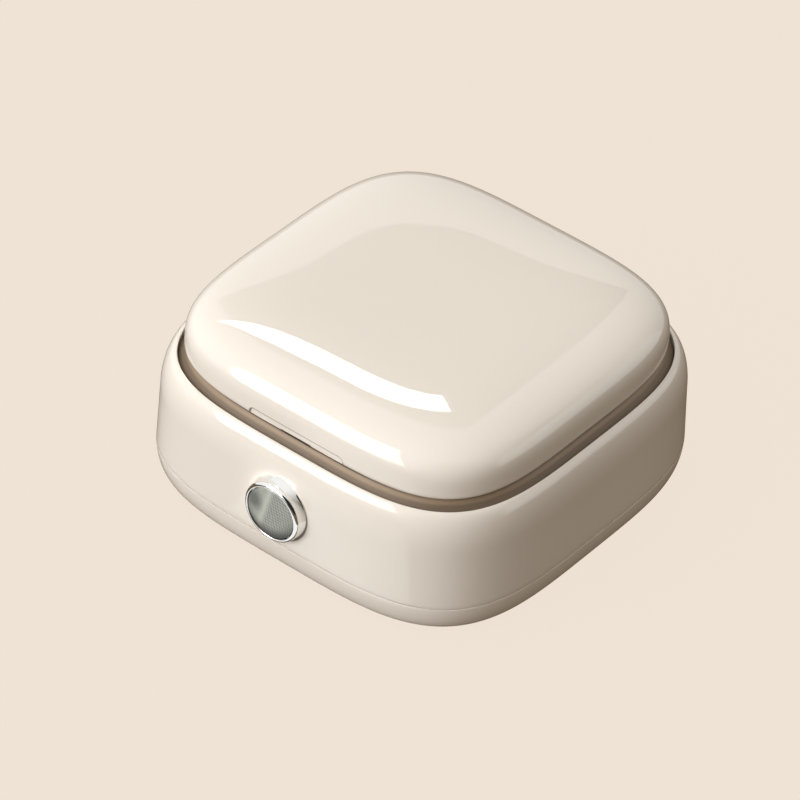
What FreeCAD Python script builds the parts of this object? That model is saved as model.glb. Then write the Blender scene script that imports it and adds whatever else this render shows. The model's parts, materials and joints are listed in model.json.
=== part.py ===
"""Small desktop ultrasonic cleaner: a rounded-square body with a hinged lid, a steel tank and a push button.

Frame: +Z up, the button looks along -Y, the lid is hinged at +Y. The origin is the middle of the overall
footprint at table height. The body's own centre lies half the button's height behind the origin.
Lengths are millimetres.
"""

import FreeCAD, Part
import math
import os
import re

import Sketcher
from FreeCAD import Placement, Rotation, Vector

doc = FreeCAD.newDocument("ultrasonic_cleaner")

# ---------------------------------------------------------------- driving dimensions

SIZES = {
    # overall
    "body_width": 123.0,
    "overall_height": 56.4,
    "button_proud": 3.0,
    "foot_height": 0.8,
    # outline of the body and of the lid: the powers of their superellipses
    "body_power": 3.83,
    "lid_power": 4.0,
    # body shell, from the floor up
    "toe_inset": 3.3,
    "belly_height": 9.9,
    "side_draft": 0.62,
    "shoulder_height": 27.2,
    "rim_height": 39.1,
    "rim_half": 57.1,
    "shell_wall": 2.2,
    "seam_height": 9.5,
    "seam_gap": 0.3,
    "ledge_low": 31.0,
    "ledge_high": 33.0,
    "lip_gap": 0.3,
    "lip_wall": 1.2,
    "lip_root": 1.6,
    "lip_rise": 1.7,
    # lid shell
    "lid_half": 55.15,
    "lid_lip": 0.67,
    "lid_low": 41.3,
    "lid_belly": 42.9,
    "lid_side_power": 4.73,
    "lid_top_power": 3.72,
    "lid_wall": 2.0,
    "recess_half": 16.0,
    "recess_height": 2.3,
    "recess_depth": 0.5,
    "recess_corner": 1.5,
    "lid_boss": 2.2,
    "liner_half": 52.9,
    "liner_gap": 0.2,
    "liner_sheet": 1.6,
    "spigot_half": 45.6,
    "spigot_inner": 44.0,
    "spigot_low": 38.5,
    "lid_seal_half": 50.5,
    "lid_seal_inner": 46.4,
    "liner_screw": 43.2,
    # tank and its seal
    "tank_half": 46.0,
    "tank_draft": 0.9,
    "tank_floor": 13.6,
    "tank_corner": 6.0,
    "tank_sheet": 0.6,
    "flange_half": 49.6,
    "seal_height": 1.0,
    "disc_radius": 19.0,
    "disc_height": 3.0,
    # rim collar
    "collar_half": 56.8,
    "collar_top": 40.3,
    "collar_top_half": 54.1,
    "collar_edge": 37.9,
    "collar_bore": 46.2,
    "post_offset": 44.0,
    "post_radius": 3.0,
    "clamp_inset": 5.4,
    "channel_outer": 2.2,
    "channel_inner": 5.6,
    "catch_half": 5.0,
    "catch_slot_inset": 0.2,
    "catch_slot_depth": 2.2,
    "catch_slot_drop": 1.1,
    "catch_strip": 0.5,
    "catch_strip_half": 4.0,
    "catch_front": 53.0,
    # hinge
    "hinge_back": 56.4,
    "hinge_height": 39.3,
    "knuckle_radius": 2.2,
    "pin_radius": 1.0,
    "knuckle_half": 9.0,
    "knuckle_gap": 0.4,
    "hinge_half": 20.0,
    "knuckle_root": 52.6,
    "pin_hold": 0.01,
    "pin_play": 0.05,
    "leaf_clearance": 0.3,
    "leaf_sheet": 1.8,
    "leaf_upright": 2.2,
    "leaf_front": 47.0,
    "leaf_screw_x": 6.0,
    "leaf_screw_y": 50.9,
    # floor of the cover, bosses and screws
    "floor_wall": 2.0,
    "boss_top": 5.0,
    "boss_radius": 4.0,
    "screw_radius": 1.25,
    "screw_play": 0.15,
    "screw_head": 2.2,
    "screw_head_low": 1.5,
    "screw_head_height": 1.7,
    "screw_length": 12.8,
    "cross_length": 2.6,
    "cross_width": 0.6,
    "cross_depth": 0.7,
    "foot_radius": 5.5,
    "foot_sink": 0.6,
    "foot_ease": 0.5,
    # driver board
    "board_low": 3.6,
    "board_sheet": 1.4,
    "board_half": 34.0,
    "board_front": 40.0,
    "board_back": 57.2,
    "board_screw": 0.9,
    "board_screw_head": 1.8,
    "board_head_height": 1.1,
    "board_pilot_low": 1.4,
    "board_hole_x": 30.0,
    "board_hole_y": 36.0,
    "board_step": 40.0,
    "board_tail_inset": 8.0,
    "socket_width": 8.9,
    "socket_height": 3.2,
    "socket_depth": 8.0,
    "socket_inset": 0.6,
    "socket_sheet": 0.3,
    "socket_back_wall": 1.4,
    "tongue_width": 6.6,
    "tongue_height": 0.7,
    # parts on the driver board
    "can_radius": 3.15,
    "can_height": 11.0,
    "can_place_y": 53.4,
    "crimp_ring": 3.35,
    "crimp_wire": 0.4,
    "crimp_height": 1.6,
    "drum_radius": 3.6,
    "drum_flange": 1.2,
    "winding_radius": 3.1,
    "winding_height": 6.4,
    "drum_x": 14.0,
    "drum_y": 53.3,
    "case_width": 6.5,
    "case_depth": 6.1,
    "case_height": 2.3,
    "case_y": 26.0,
    "tab_width": 5.2,
    "tab_depth": 1.8,
    "tab_height": 0.6,
    "controller_width": 7.0,
    "controller_height": 1.4,
    "driver_width": 5.0,
    "driver_depth": 4.0,
    "driver_height": 1.5,
    "passive_length": 1.6,
    "passive_width": 0.8,
    "passive_height": 0.7,
    "passive_pitch": 3.0,
    "plug_length": 7.5,
    "plug_depth": 5.5,
    "plug_height": 4.6,
    "plug_middle": 2.4,
    # push button, along Y from the body's centre
    "button_height": 21.4,
    "bezel_radius": 9.8,
    "bezel_rim": 9.2,
    "bezel_crown": 8.8,
    "bezel_bore": 8.0,
    "bezel_seat": 60.6,
    "barrel_radius": 6.5,
    "barrel_bore": 5.2,
    "barrel_back": 56.4,
    "web_front": 59.0,
    "web_back": 57.6,
    "cap_radius": 7.8,
    "cap_sink": 0.2,
    "cap_sheet": 2.0,
    "stem_radius": 2.2,
    "stem_back": 54.6,
    "nut_radius": 9.0,
    "pad_face": 58.3,
    "switch_front": 53.6,
    "switch_back": 50.4,
    "switch_sheet": 1.2,
    "switch_plate_half": 16.0,
    "switch_plate_height": 12.0,
    "switch_screw_x": 12.5,
    "switch_screw_head": 1.7,
    "switch_body": 6.0,
    "switch_well": 1.75,
    "plunger_radius": 1.6,
    "plunger_length": 2.4,
    "nut_height": 1.5,
    "clip_reach": 1.6,
    "clip_sheet": 0.6,
    "groove_depth": 0.6,
    "groove_gap": 0.5,
    "spring_wire": 0.5,
    "coil_radius": 4.0,
}

sheet = doc.addObject("Spreadsheet::Sheet", "sizes")
for row, (alias, value) in enumerate(SIZES.items(), start=1):
    sheet.set(f"A{row}", alias)
    sheet.set(f"B{row}", str(value))
    sheet.setAlias(f"B{row}", alias)
doc.recompute()

nodes = {}
reckoner = doc.addObject("App::FeaturePython", "reckoner")
reckoner.addProperty("App::PropertyFloat", "Result")


def size(text):
    """Value in millimetres of a formula of sheet names, such as 'lid_half - lid_wall'."""
    reckoner.setExpression("Result", bound(text))
    reckoner.recompute()
    return reckoner.Result


def bound(text):
    """The same formula with every sheet name written as the sheet's own cell."""
    return re.sub(r"[a-z_]+", lambda word: "sizes." + word[0] if word[0] in SIZES else word[0], text)


def bind(thing, **formulas):
    for property_name, formula in formulas.items():
        thing.setExpression(property_name.replace("__", "."), bound(formula))
    return thing


CENTRE_Y = size("button_proud / 2")
AXES = {"X": Rotation(Vector(0, 1, 0), 90), "Y": Rotation(Vector(1, 0, 0), -90), "Z": Rotation()}
CORNERS = [(1, 1), (-1, 1), (-1, -1), (1, -1)]


def move_to(thing, x, y, z):
    """Places an object: x, y and z are formulas, y counted from the body's centre."""
    bind(thing, Placement__Base__x=x, Placement__Base__y=f"button_proud / 2 + {y}", Placement__Base__z=z)
    return thing


def block(name, width, depth, height, x, y, z):
    """A box whose lowest corner is at x, y, z."""
    return move_to(bind(doc.addObject("Part::Box", name), Length=width, Width=depth, Height=height), x, y, z)


def rod(name, radius, length, x, y, z, along="Z"):
    """A round bar that starts at x, y, z and runs along an axis."""
    bar = doc.addObject("Part::Cylinder", name)
    bar.Placement = Placement(Vector(), AXES[along])
    return move_to(bind(bar, Radius=radius, Height=length), x, y, z)


def fuse(name, *pieces):
    joined = doc.addObject("Part::MultiFuse", name)
    joined.Shapes = list(pieces)
    return joined


def cut(name, base, *tools):
    taken = tools[0] if len(tools) == 1 else fuse(name + "_tools", *tools)
    rest = doc.addObject("Part::Cut", name)
    rest.Base = base
    rest.Tool = taken
    return rest


def group(name, solids):
    several = doc.addObject("Part::Compound", name)
    several.Links = list(solids)
    return several


def shaped(name, shape):
    thing = doc.addObject("Part::Feature", name)
    thing.Shape = shape
    thing.Placement = Placement(Vector(0, CENTRE_Y, 0), Rotation()) * shape.Placement
    return thing


def node(name, thing):
    """Makes an object one of the cleaner's pieces."""
    thing.Label = name
    nodes[name] = thing
    return thing


# ---------------------------------------------------------------- rounded-square shapes

RING_POINTS = 64


def ring(half, height, power):
    """Closed curve |x|^power + |y|^power = half^power at a height."""
    points = []
    for step in range(RING_POINTS):
        turn = 2 * math.pi * step / RING_POINTS
        reach = (abs(math.cos(turn)) ** power + abs(math.sin(turn)) ** power) ** (-1 / power)
        points.append(Vector(half * reach * math.cos(turn), half * reach * math.sin(turn), height))
    curve = Part.BSplineCurve()
    curve.interpolate(Points=points, PeriodicFlag=True)
    return Part.Wire([curve.toShape()])


def tower(levels, power):
    """Solid through rings given as (half width, height), from the lowest up, straight between rings."""
    return Part.makeLoft([ring(half, height, power) for half, height in levels], True, True)


def slab(half, low, high, power):
    return tower([(half, low), (half, high)], power)


def arc_steps(count):
    return [math.pi / 2 * step / count for step in range(count + 1)]


def base_half(height):
    """Half width of the body's outer surface at a height."""
    belly = size("body_width / 2")
    if height < size("belly_height"):
        rise = (size("belly_height") - height) / size("belly_height - foot_height")
        return belly - size("toe_inset") * (1 - math.sqrt(1 - rise**2))
    if height < size("shoulder_height"):
        share = (height - size("belly_height")) / size("shoulder_height - belly_height")
        return belly - size("side_draft") * share
    rise = min(1.0, (height - size("shoulder_height")) / size("rim_height - shoulder_height"))
    return size("rim_half") + (belly - size("side_draft + rim_half")) * math.sqrt(1 - rise**2)


def base_levels(low, high, inset=0.0, toe_steps=6, shoulder_steps=9):
    """Levels of the body's outer surface, or of one that lies an inset further in."""
    toe_rise = size("belly_height - foot_height")
    toe = [size("foot_height") + toe_rise * (1 - math.cos(a)) for a in arc_steps(toe_steps)]
    rise = size("rim_height - shoulder_height")
    shoulder = [size("shoulder_height") + rise * math.sin(a) for a in arc_steps(shoulder_steps)]
    middle = [size("(belly_height + shoulder_height) / 2")]
    near = 0.4
    heights = [low] + [z for z in toe + middle + shoulder if low + near < z < high - near] + [high]
    return [(base_half(z) - inset, z) for z in heights]


def lid_lip():
    """Levels of the quarter ellipse that turns the lid's outer surface in to its lower edge."""
    return [(size("lid_half - lid_lip") + size("lid_lip") * math.sin(a),
             size("lid_low") + size("lid_belly - lid_low") * (1 - math.cos(a))) for a in arc_steps(3)]


def dome_levels(inset=0.0, steps=18, flat=12.0, crowding=1.5):
    """Levels of the lid's dome above its belly: half width and height follow two powers up to a flat top."""
    belly = size("lid_belly")
    crown = size("overall_height - lid_belly") - inset
    half = size("lid_half") - inset
    levels = []
    for step in range(1, steps):
        a = math.pi / 2 * (step / steps) ** crowding
        levels.append((half * math.cos(a) ** (2 / size("lid_side_power")),
                       belly + crown * math.sin(a) ** (2 / size("lid_top_power"))))
    return levels + [(flat, belly + crown)]


BODY = size("body_power")
LID = size("lid_power")
TALL = size("overall_height + 4")


# ---------------------------------------------------------------- body shells

def base_housing():
    """Outer shell from the seam to the rim, with the ledge the tank stands on."""
    low = size("seam_height + seam_gap / 2")
    shell = tower(base_levels(low, size("rim_height")), BODY)
    inside = tower(base_levels(low - 1, size("ledge_low"), inset=size("shell_wall")), BODY)
    shell = shell.cut(inside)
    shell = shell.cut(slab(size("rim_half"), size("ledge_high"), TALL, BODY))
    shell = shell.cut(slab(size("tank_half + 1"), size("ledge_low - 1"), size("ledge_high + 1"), BODY))
    body = shaped("housing_shell", shell)
    pad = rod("bezel_pad", "nut_radius + 1", "bezel_seat - pad_face", "0", "-bezel_seat", "button_height",
              "Y")
    bosses = [rod(f"switch_boss_{side}", "board_screw + 1.4", "bezel_seat - switch_back",
                  f"{side} * switch_screw_x", "-bezel_seat", "button_height", "Y") for side in (-1, 1)]
    pilots = [rod(f"switch_pilot_{side}", "board_screw", "4", f"{side} * switch_screw_x", "-switch_back - 4",
                  "button_height", "Y") for side in (-1, 1)]
    seat = rod("bezel_recess", "bezel_radius + screw_play", "4", "0", "-bezel_seat - 4", "button_height", "Y")
    hole = rod("barrel_hole", "barrel_radius + screw_play", "10", "0", "-bezel_seat - 2", "button_height",
               "Y")
    passages = [rod(f"post_passage_{n}", "post_radius + 0.3", "4", f"{i} * post_offset", f"{j} * post_offset",
                    "ledge_low - 1") for n, (i, j) in enumerate(CORNERS)]
    notch = block("hinge_notch", "2 * hinge_half + 1", "12", "12", "-hinge_half - 0.5", "52",
                  "hinge_height - knuckle_radius - 0.4")
    return cut("housing", fuse("housing_blank", body, pad, *bosses), seat, hole, notch, *pilots, *passages)


def bottom_cover():
    """Dished cover below the seam, with its locating lip, screw bosses and socket cut-out."""
    high = size("seam_height - seam_gap / 2")
    floor = size("foot_height + floor_wall")
    shell = tower(base_levels(size("foot_height"), high), BODY)
    shell = shell.cut(tower(base_levels(floor, high + 1, inset=size("shell_wall")), BODY))
    lip_half = size("body_width / 2 - shell_wall - lip_gap")
    root = high - size("lip_root")
    lip = slab(lip_half, root, high + size("lip_rise"), BODY)
    link = slab(lip_half + size("lip_wall"), root, high, BODY)
    opening = slab(lip_half - size("lip_wall"), root - 1, high + size("lip_rise") + 1, BODY)
    body = shaped("cover_shell", shell.fuse(lip.fuse(link).cut(opening)))
    bosses = [rod(f"cover_boss_{n}", "boss_radius", "boss_top - foot_height - 1", f"{i} * post_offset",
                  f"{j} * post_offset", "foot_height + 1") for n, (i, j) in enumerate(CORNERS)]
    stands = [rod(f"board_stand_{n}", "board_screw + 1.6", "board_low - foot_height - 1", x, y,
                  "foot_height + 1")
              for n, (x, y) in enumerate(BOARD_HOLES)]
    tools = []
    for n, (i, j) in enumerate(CORNERS):
        x, y = f"{i} * post_offset", f"{j} * post_offset"
        tools.append(rod(f"foot_seat_{n}", "foot_radius + 0.1", "foot_sink + 1", x, y, "foot_height - 1"))
        well = "screw_head_low + screw_head_height"
        tools.append(rod(f"head_well_{n}", "screw_head + 0.2", well, x, y, "0"))
        tools.append(rod(f"shank_hole_{n}", "screw_radius + screw_play", "boss_top + 1", x, y, "0"))
    for n, (x, y) in enumerate(BOARD_HOLES):
        depth = "board_low - board_pilot_low"
        tools.append(rod(f"stand_pilot_{n}", "board_screw", depth, x, y, "board_pilot_low"))
    tools.append(block("socket_window", "socket_width + 0.7", "12", "socket_height + 0.6",
                       "-socket_width / 2 - 0.35", "54", "board_low + board_sheet - 0.3"))
    return cut("cover", fuse("cover_blank", body, *bosses, *stands), *tools)


def rim_collar():
    """Neck ring under the lid: it clamps the tank's flange and carries the hinge and four long posts."""
    edge = [(size("collar_half"), size("ledge_high")), (size("collar_half"), size("collar_edge"))]
    slope = [(size("collar_half"), size("collar_edge")), (size("collar_top_half"), size("collar_top"))]
    shape = tower(edge, BODY).fuse(tower(slope, BODY))
    shape = shape.cut(slab(size("collar_bore"), 0, TALL, BODY))
    clamp = size("ledge_high + seal_height + tank_sheet")
    shape = shape.cut(slab(size("collar_half - clamp_inset"), 0, clamp, BODY))
    channel = slab(size("collar_half - channel_outer"), 0, size("collar_edge"), BODY)
    shape = shape.cut(channel.cut(slab(size("collar_half - channel_inner"), -1, TALL, BODY)))
    body = shaped("collar_ring", shape)
    posts = [rod(f"collar_post_{n}", "post_radius", "collar_edge + 0.6 - boss_top", f"{i} * post_offset",
                 f"{j} * post_offset", "boss_top") for n, (i, j) in enumerate(CORNERS)]
    pilots = [rod(f"post_pilot_{n}", "screw_radius", "11", f"{i} * post_offset", f"{j} * post_offset",
                  "boss_top - 1") for n, (i, j) in enumerate(CORNERS)]
    gap = block("leaf_gap", "2 * (knuckle_half + knuckle_gap)", "10", "10", "-knuckle_half - knuckle_gap",
                "hinge_back - knuckle_radius - 0.5", "hinge_height - knuckle_radius - 0.6")
    slot = block("catch_slot", "2 * catch_half", "catch_slot_depth", "5", "-catch_half",
                 "catch_slot_inset - collar_top_half", "collar_top - catch_slot_drop")
    arms = []
    for side, start in ((-1, "-hinge_half"), (1, "knuckle_half + knuckle_gap")):
        length = "hinge_half - knuckle_half - knuckle_gap"
        arms.append(rod(f"knuckle_{side}", "knuckle_radius", length, start, "hinge_back", "hinge_height",
                        "X"))
        arms.append(block(f"knuckle_root_{side}", length, "hinge_back - knuckle_root",
                          "collar_top - collar_edge + 0.8", start, "knuckle_root", "collar_edge - 0.8"))
    bore = rod("pin_hole", "pin_radius + pin_hold", "2 * hinge_half + 2", "-hinge_half - 1", "hinge_back",
               "hinge_height", "X")
    ring_only = cut("collar_gapped", body, gap)
    return cut("collar", fuse("collar_blank", ring_only, *posts, *arms), slot, bore, *pilots)


def lid_shell():
    """Domed lid with a scooped thumb recess in its front edge and bosses for its liner and hinge leaf."""
    outer = tower(lid_lip() + dome_levels(), LID)
    wall = size("lid_wall")
    inner_half = size("lid_half") - wall
    upright = [(inner_half, size("lid_low - 1")), (inner_half, size("lid_belly"))]
    hollow = tower(upright + dome_levels(wall), LID)
    shape = outer.cut(hollow)
    posts = [(i * size("liner_screw"), j * size("liner_screw"), size(LINER_TOP)) for i, j in CORNERS]
    posts += [(i * size("leaf_screw_x"), size("leaf_screw_y"), size(LEAF_TOP)) for i in (-1, 1)]
    for place in posts:
        boss = Part.makeCylinder(size("lid_boss"), size("overall_height") - place[2], Vector(*place))
        shape = shape.fuse(boss.common(outer))
    body = shaped("lid_dome", shape.removeSplitter())
    pilots = [rod(f"liner_pilot_{n}", "board_screw", "7", f"{i} * liner_screw", f"{j} * liner_screw",
                  LINER_TOP + " - 1") for n, (i, j) in enumerate(CORNERS)]
    pilots += [rod(f"leaf_pilot_{i}", "board_screw", "7", f"{i} * leaf_screw_x", "leaf_screw_y",
                   LEAF_TOP + " - 1") for i in (-1, 1)]
    slot = block("leaf_slot", "2 * (knuckle_half + leaf_clearance)", "8", "4.6",
                 "-knuckle_half - leaf_clearance", "leaf_screw_y", "lid_low - 2")
    return cut("lid_body", body, slot, thumb_recess(), *pilots)


def thumb_recess():
    """Flat-backed recess in the lid's front edge with rounded upper ends."""
    depth = "recess_depth + 1"
    front = "-lid_half - 1"
    low = "lid_low - 1"
    straight = "recess_height - recess_corner + 1"
    wide = block("recess_wide", "2 * recess_half", depth, straight, "-recess_half", front, low)
    high = block("recess_high", "2 * (recess_half - recess_corner)", depth, "recess_height + 1",
                 "recess_corner - recess_half", front, low)
    ends = [rod(f"recess_end_{side}", "recess_corner", depth, f"{side} * (recess_half - recess_corner)",
                front, "lid_low + recess_height - recess_corner", "Y") for side in (-1, 1)]
    return fuse("recess", wide, high, *ends)


def tank():
    """Deep-drawn steel tank: rounded floor corner, drafted wall and an outward flange."""
    flange = size("ledge_high + seal_height")
    sheet_top = size("ledge_high + seal_height + tank_sheet")

    def skin(grow, top):
        foot = size("tank_half - tank_draft") + grow
        bend = size("tank_corner") + grow
        floor = size("tank_floor") - grow
        levels = [(foot - bend + bend * math.sin(a), floor + bend * (1 - math.cos(a))) for a in arc_steps(6)]
        return tower(levels + [(size("tank_half") + grow, top)], BODY)

    rim = slab(size("flange_half"), flange, sheet_top, BODY)
    body = skin(size("tank_sheet"), flange).fuse(rim).cut(skin(0, sheet_top))
    return shaped("tank_sheet_metal", body)


def flat_ring(name, outer_half, inner_half, low, high):
    return shaped(name, slab(outer_half, low, high, BODY).cut(slab(inner_half, low - 1, high + 1, BODY)))


def lid_liner():
    """White tray that closes the lid from below, with a short spigot that drops into the collar."""
    low = size("lid_low + liner_gap")
    plate = slab(size("liner_half"), low, size(LINER_TOP), LID)
    spigot = slab(size("spigot_half"), size("spigot_low"), low + 0.1, BODY)
    hollow = slab(size("spigot_inner"), size("spigot_low - 1"), low, BODY)
    body = shaped("liner_tray", plate.fuse(spigot.cut(hollow)))
    leaf = block("liner_leaf_gap", "2 * (knuckle_half + leaf_clearance)", "12", "10",
                 "-knuckle_half - leaf_clearance", "leaf_front - liner_gap", "lid_low")
    clip = block("liner_clip_gap", "2 * (catch_strip_half + leaf_clearance)", "4", "10",
                 "-catch_strip_half - leaf_clearance", "-catch_front - 2.8", "lid_low")
    holes = [cone(f"liner_sink_{n}", f"{i} * liner_screw", f"{j} * liner_screw", "lid_low + liner_gap")
             for n, (i, j) in enumerate(CORNERS)]
    shafts = [rod(f"liner_hole_{n}", "board_screw", "4", f"{i} * liner_screw", f"{j} * liner_screw",
                  "lid_low - 1") for n, (i, j) in enumerate(CORNERS)]
    return cut("liner", body, leaf, clip, *holes, *shafts)


# ---------------------------------------------------------------- fasteners

BOARD_HOLES = [(f"{i} * board_hole_x", f"{j} * board_hole_y") for j in (-1, 1) for i in (-1, 1)]
LINER_TOP = "lid_low + liner_gap + liner_sheet"
LEAF_TOP = "lid_low + leaf_clearance + leaf_sheet"


def cone(name, x, y, z):
    """Countersink or countersunk head, wide end down."""
    sink = doc.addObject("Part::Cone", name)
    bind(sink, Radius1="board_screw_head", Radius2="board_screw", Height="board_screw")
    return move_to(sink, x, y, z)


def countersunk_screw(name, x, y, low, length):
    shank = rod(name + "_shank", "board_screw", length, x, y, f"{low} + board_screw")
    return fuse(name, cone(name + "_head", x, y, low), shank)


def cover_screws():
    """Pan heads with a cross cut into the lower face, on shanks that run up into the collar's posts."""
    screws = []
    for n, (i, j) in enumerate(CORNERS):
        x, y = f"{i} * post_offset", f"{j} * post_offset"
        head = rod(f"cover_head_{n}", "screw_head", "screw_head_height", x, y, "screw_head_low")
        shank = rod(f"cover_shank_{n}", "screw_radius", "screw_length", x, y, "screw_head_low")
        bars = [block(f"cross_a_{n}", "cross_length", "cross_width", "cross_depth", f"{x} - cross_length / 2",
                      f"{y} - cross_width / 2", "screw_head_low"),
                block(f"cross_b_{n}", "cross_width", "cross_length", "cross_depth", f"{x} - cross_width / 2",
                      f"{y} - cross_length / 2", "screw_head_low")]
        screws.append(cut(f"cover_screw_{n}", fuse(f"cover_screw_blank_{n}", head, shank), *bars))
    return group("cover_screw_set", screws)


def board_screws():
    screws = []
    top = "board_low + board_sheet"
    for n, (x, y) in enumerate(BOARD_HOLES):
        head = rod(f"board_head_{n}", "board_screw_head", "board_head_height", x, y, top)
        low = "board_pilot_low + 0.2"
        shank = rod(f"board_shank_{n}", "board_screw", f"{top} - ({low})", x, y, low)
        screws.append(fuse(f"board_screw_{n}", head, shank))
    return group("board_screw_set", screws)


def switch_screws():
    screws = []
    for side in (-1, 1):
        x = f"{side} * switch_screw_x"
        head = rod(f"switch_head_{side}", "switch_screw_head", "board_screw", x,
                   "-switch_back + switch_sheet", "button_height", "Y")
        shank = rod(f"switch_shank_{side}", "board_screw", "switch_sheet + 3.8", x, "-switch_back - 3.8",
                    "button_height", "Y")
        screws.append(fuse(f"switch_screw_{side}", head, shank))
    return group("switch_screw_set", screws)


# ---------------------------------------------------------------- turned pieces, as revolved sketches

def origin_plane(body, role):
    return next(item for item in body.Origin.OriginFeatures if item.Role == role)


def outline(sketch, points):
    """Closed outline of straight lines through points given as formulas, each bound to the sheet."""
    values = [Vector(size(u), size(v), 0) for u, v in points]
    count = len(points)
    for n in range(count):
        sketch.addGeometry(Part.LineSegment(values[n], values[(n + 1) % count]), False)
    for n in range(count):
        sketch.addConstraint(Sketcher.Constraint("Coincident", n, 2, (n + 1) % count, 1))
    for n, (u, v) in enumerate(points):
        for kind, text, axis in (("DistanceX", u, -2), ("DistanceY", v, -1)):
            if text == "0":
                sketch.addConstraint(Sketcher.Constraint("PointOnObject", n, 1, axis))
                continue
            index = sketch.addConstraint(Sketcher.Constraint(kind, -1, 1, n, 1, size(text)))
            sketch.setExpression(f"Constraints[{index}]", bound(text))


def turned(name, points, back):
    """Revolves (radius, length) points about the button's axis; length counts forward from the back plane."""
    body = doc.addObject("PartDesign::Body", name)
    sketch = body.newObject("Sketcher::SketchObject", name + "_outline")
    sketch.AttachmentSupport = [(origin_plane(body, "XY_Plane"), "")]
    sketch.MapMode = "FlatFace"
    outline(sketch, points)
    spin = body.newObject("PartDesign::Revolution", name + "_turned")
    spin.Profile = sketch
    spin.ReferenceAxis = (sketch, ["V_Axis"])
    spin.Angle = 360
    body.Placement = Placement(Vector(), Rotation(Vector(0, 0, 1), 180))
    return move_to(body, "0", f"-{back}", "button_height")


def button_bezel():
    """Bright ring: crowned rim, flared side, guide bore, web for the stem and barrel through the shell."""
    front = "body_width / 2 + button_proud - barrel_back"
    web_low = "web_back - barrel_back"
    web_high = "web_front - barrel_back"
    seat = "bezel_seat - barrel_back"
    return turned("bezel", [
        ("barrel_bore", "0"), ("barrel_radius", "0"), ("barrel_radius", seat), ("bezel_radius", seat),
        ("(2 * bezel_radius + bezel_rim) / 3", f"({seat} + {front}) / 2"), ("bezel_rim", f"{front} - 0.45"),
        ("(bezel_rim + bezel_crown) / 2 + 0.07", f"{front} - 0.15"), ("bezel_crown", front),
        ("bezel_bore + 0.3", front), ("bezel_bore", f"{front} - 0.2"), ("bezel_bore", f"{seat} + 0.8"),
        ("barrel_bore", f"{seat} + 0.8"), ("barrel_bore", web_high), ("stem_radius + 0.1", web_high),
        ("stem_radius + 0.1", web_low), ("barrel_bore", web_low)], "barrel_back")


def button_cap():
    """Disc with an eased front edge on a thin stem; a groove in the stem holds its clip."""
    front = "body_width / 2 + button_proud - cap_sink - stem_back"
    groove = "barrel_back + groove_gap - stem_back"
    neck = "stem_radius - groove_depth"
    return turned("cap", [
        ("0", "0"), ("stem_radius", "0"), ("stem_radius", groove), (neck, groove),
        (neck, f"{groove} + clip_sheet"), ("stem_radius", f"{groove} + clip_sheet"),
        ("stem_radius", f"{front} - cap_sheet"), ("cap_radius", f"{front} - cap_sheet"),
        ("cap_radius", f"{front} - 0.25"), ("cap_radius - 0.25", front), ("0", front)], "stem_back")


def button_nut():
    """Thin round nut on the barrel, its outer edge eased."""
    return turned("nut", [
        ("barrel_radius", "0"), ("nut_radius - 0.3", "0"), ("nut_radius", "0.3"),
        ("nut_radius", "nut_height"), ("barrel_radius", "nut_height")], "(pad_face - nut_height)")


def stem_clip():
    """Open snap ring in the stem's groove."""
    back = "barrel_back + groove_gap + clip_sheet"
    neck = "(stem_radius - groove_depth)"
    disc = rod("clip_disc", "stem_radius + clip_reach", "clip_sheet", "0", f"-({back})", "button_height", "Y")
    hole = rod("clip_hole", neck, "3 * clip_sheet", "0", f"-({back}) - clip_sheet", "button_height", "Y")
    mouth = block("clip_mouth", f"2 * ({neck} - 0.1)", "3 * clip_sheet", "6", f"-({neck} - 0.1)",
                  f"-({back}) - clip_sheet", "button_height - 6")
    return cut("clip", disc, hole, mouth)


def rubber_feet():
    """Four round feet with an eased lower edge."""
    feet = []
    for n, (i, j) in enumerate(CORNERS):
        foot = rod(f"foot_blank_{n}", "foot_radius", "foot_height + foot_sink - foot_ease",
                   f"{i} * post_offset", f"{j} * post_offset", "foot_ease")
        edge = doc.addObject("Part::Cone", f"foot_edge_{n}")
        bind(edge, Radius1="foot_radius - foot_ease", Radius2="foot_radius", Height="foot_ease")
        move_to(edge, f"{i} * post_offset", f"{j} * post_offset", "0")
        feet.append(fuse(f"foot_{n}", foot, edge))
    return group("foot_set", feet)


# ---------------------------------------------------------------- button switch and leads

BOARD_TOP = "board_low + board_sheet"
FRONT_PLUG_X = -14.0
FRONT_PLUG_Y = -37.5
SIDE_PLUG_X = 23.5


def button_spring():
    """Closed coil between the bezel's web and the cap."""
    wire = size("spring_wire") / 2
    gap = 0.03
    turns = 3.5
    cap_back = size("body_width / 2 + button_proud - cap_sink - cap_sheet")
    length = cap_back - size("web_front") - 2 * (wire + gap)
    coil_radius = size("coil_radius")
    coil = Part.makeHelix(length / turns, length, coil_radius)
    section = Part.Wire([Part.Circle(Vector(coil_radius, 0, 0), Vector(0, 1, 0), wire).toShape()])
    shape = Part.Wire(coil.Edges).makePipeShell([section], True, True)
    shape.rotate(Vector(), Vector(1, 0, 0), -90)
    shape.translate(Vector(0, -cap_back + wire + gap, size("button_height")))
    return shaped("coil", shape)


def tact_switch():
    """Square switch with a round well that the plunger moves in."""
    body = block("switch_case", "switch_body", "switch_front - switch_back", "switch_body",
                 "-switch_body / 2", "-switch_front", "button_height - switch_body / 2")
    well = rod("plunger_well", "switch_well", "plunger_length", "0", "-switch_front", "button_height", "Y")
    return cut("switch", body, well)


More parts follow.
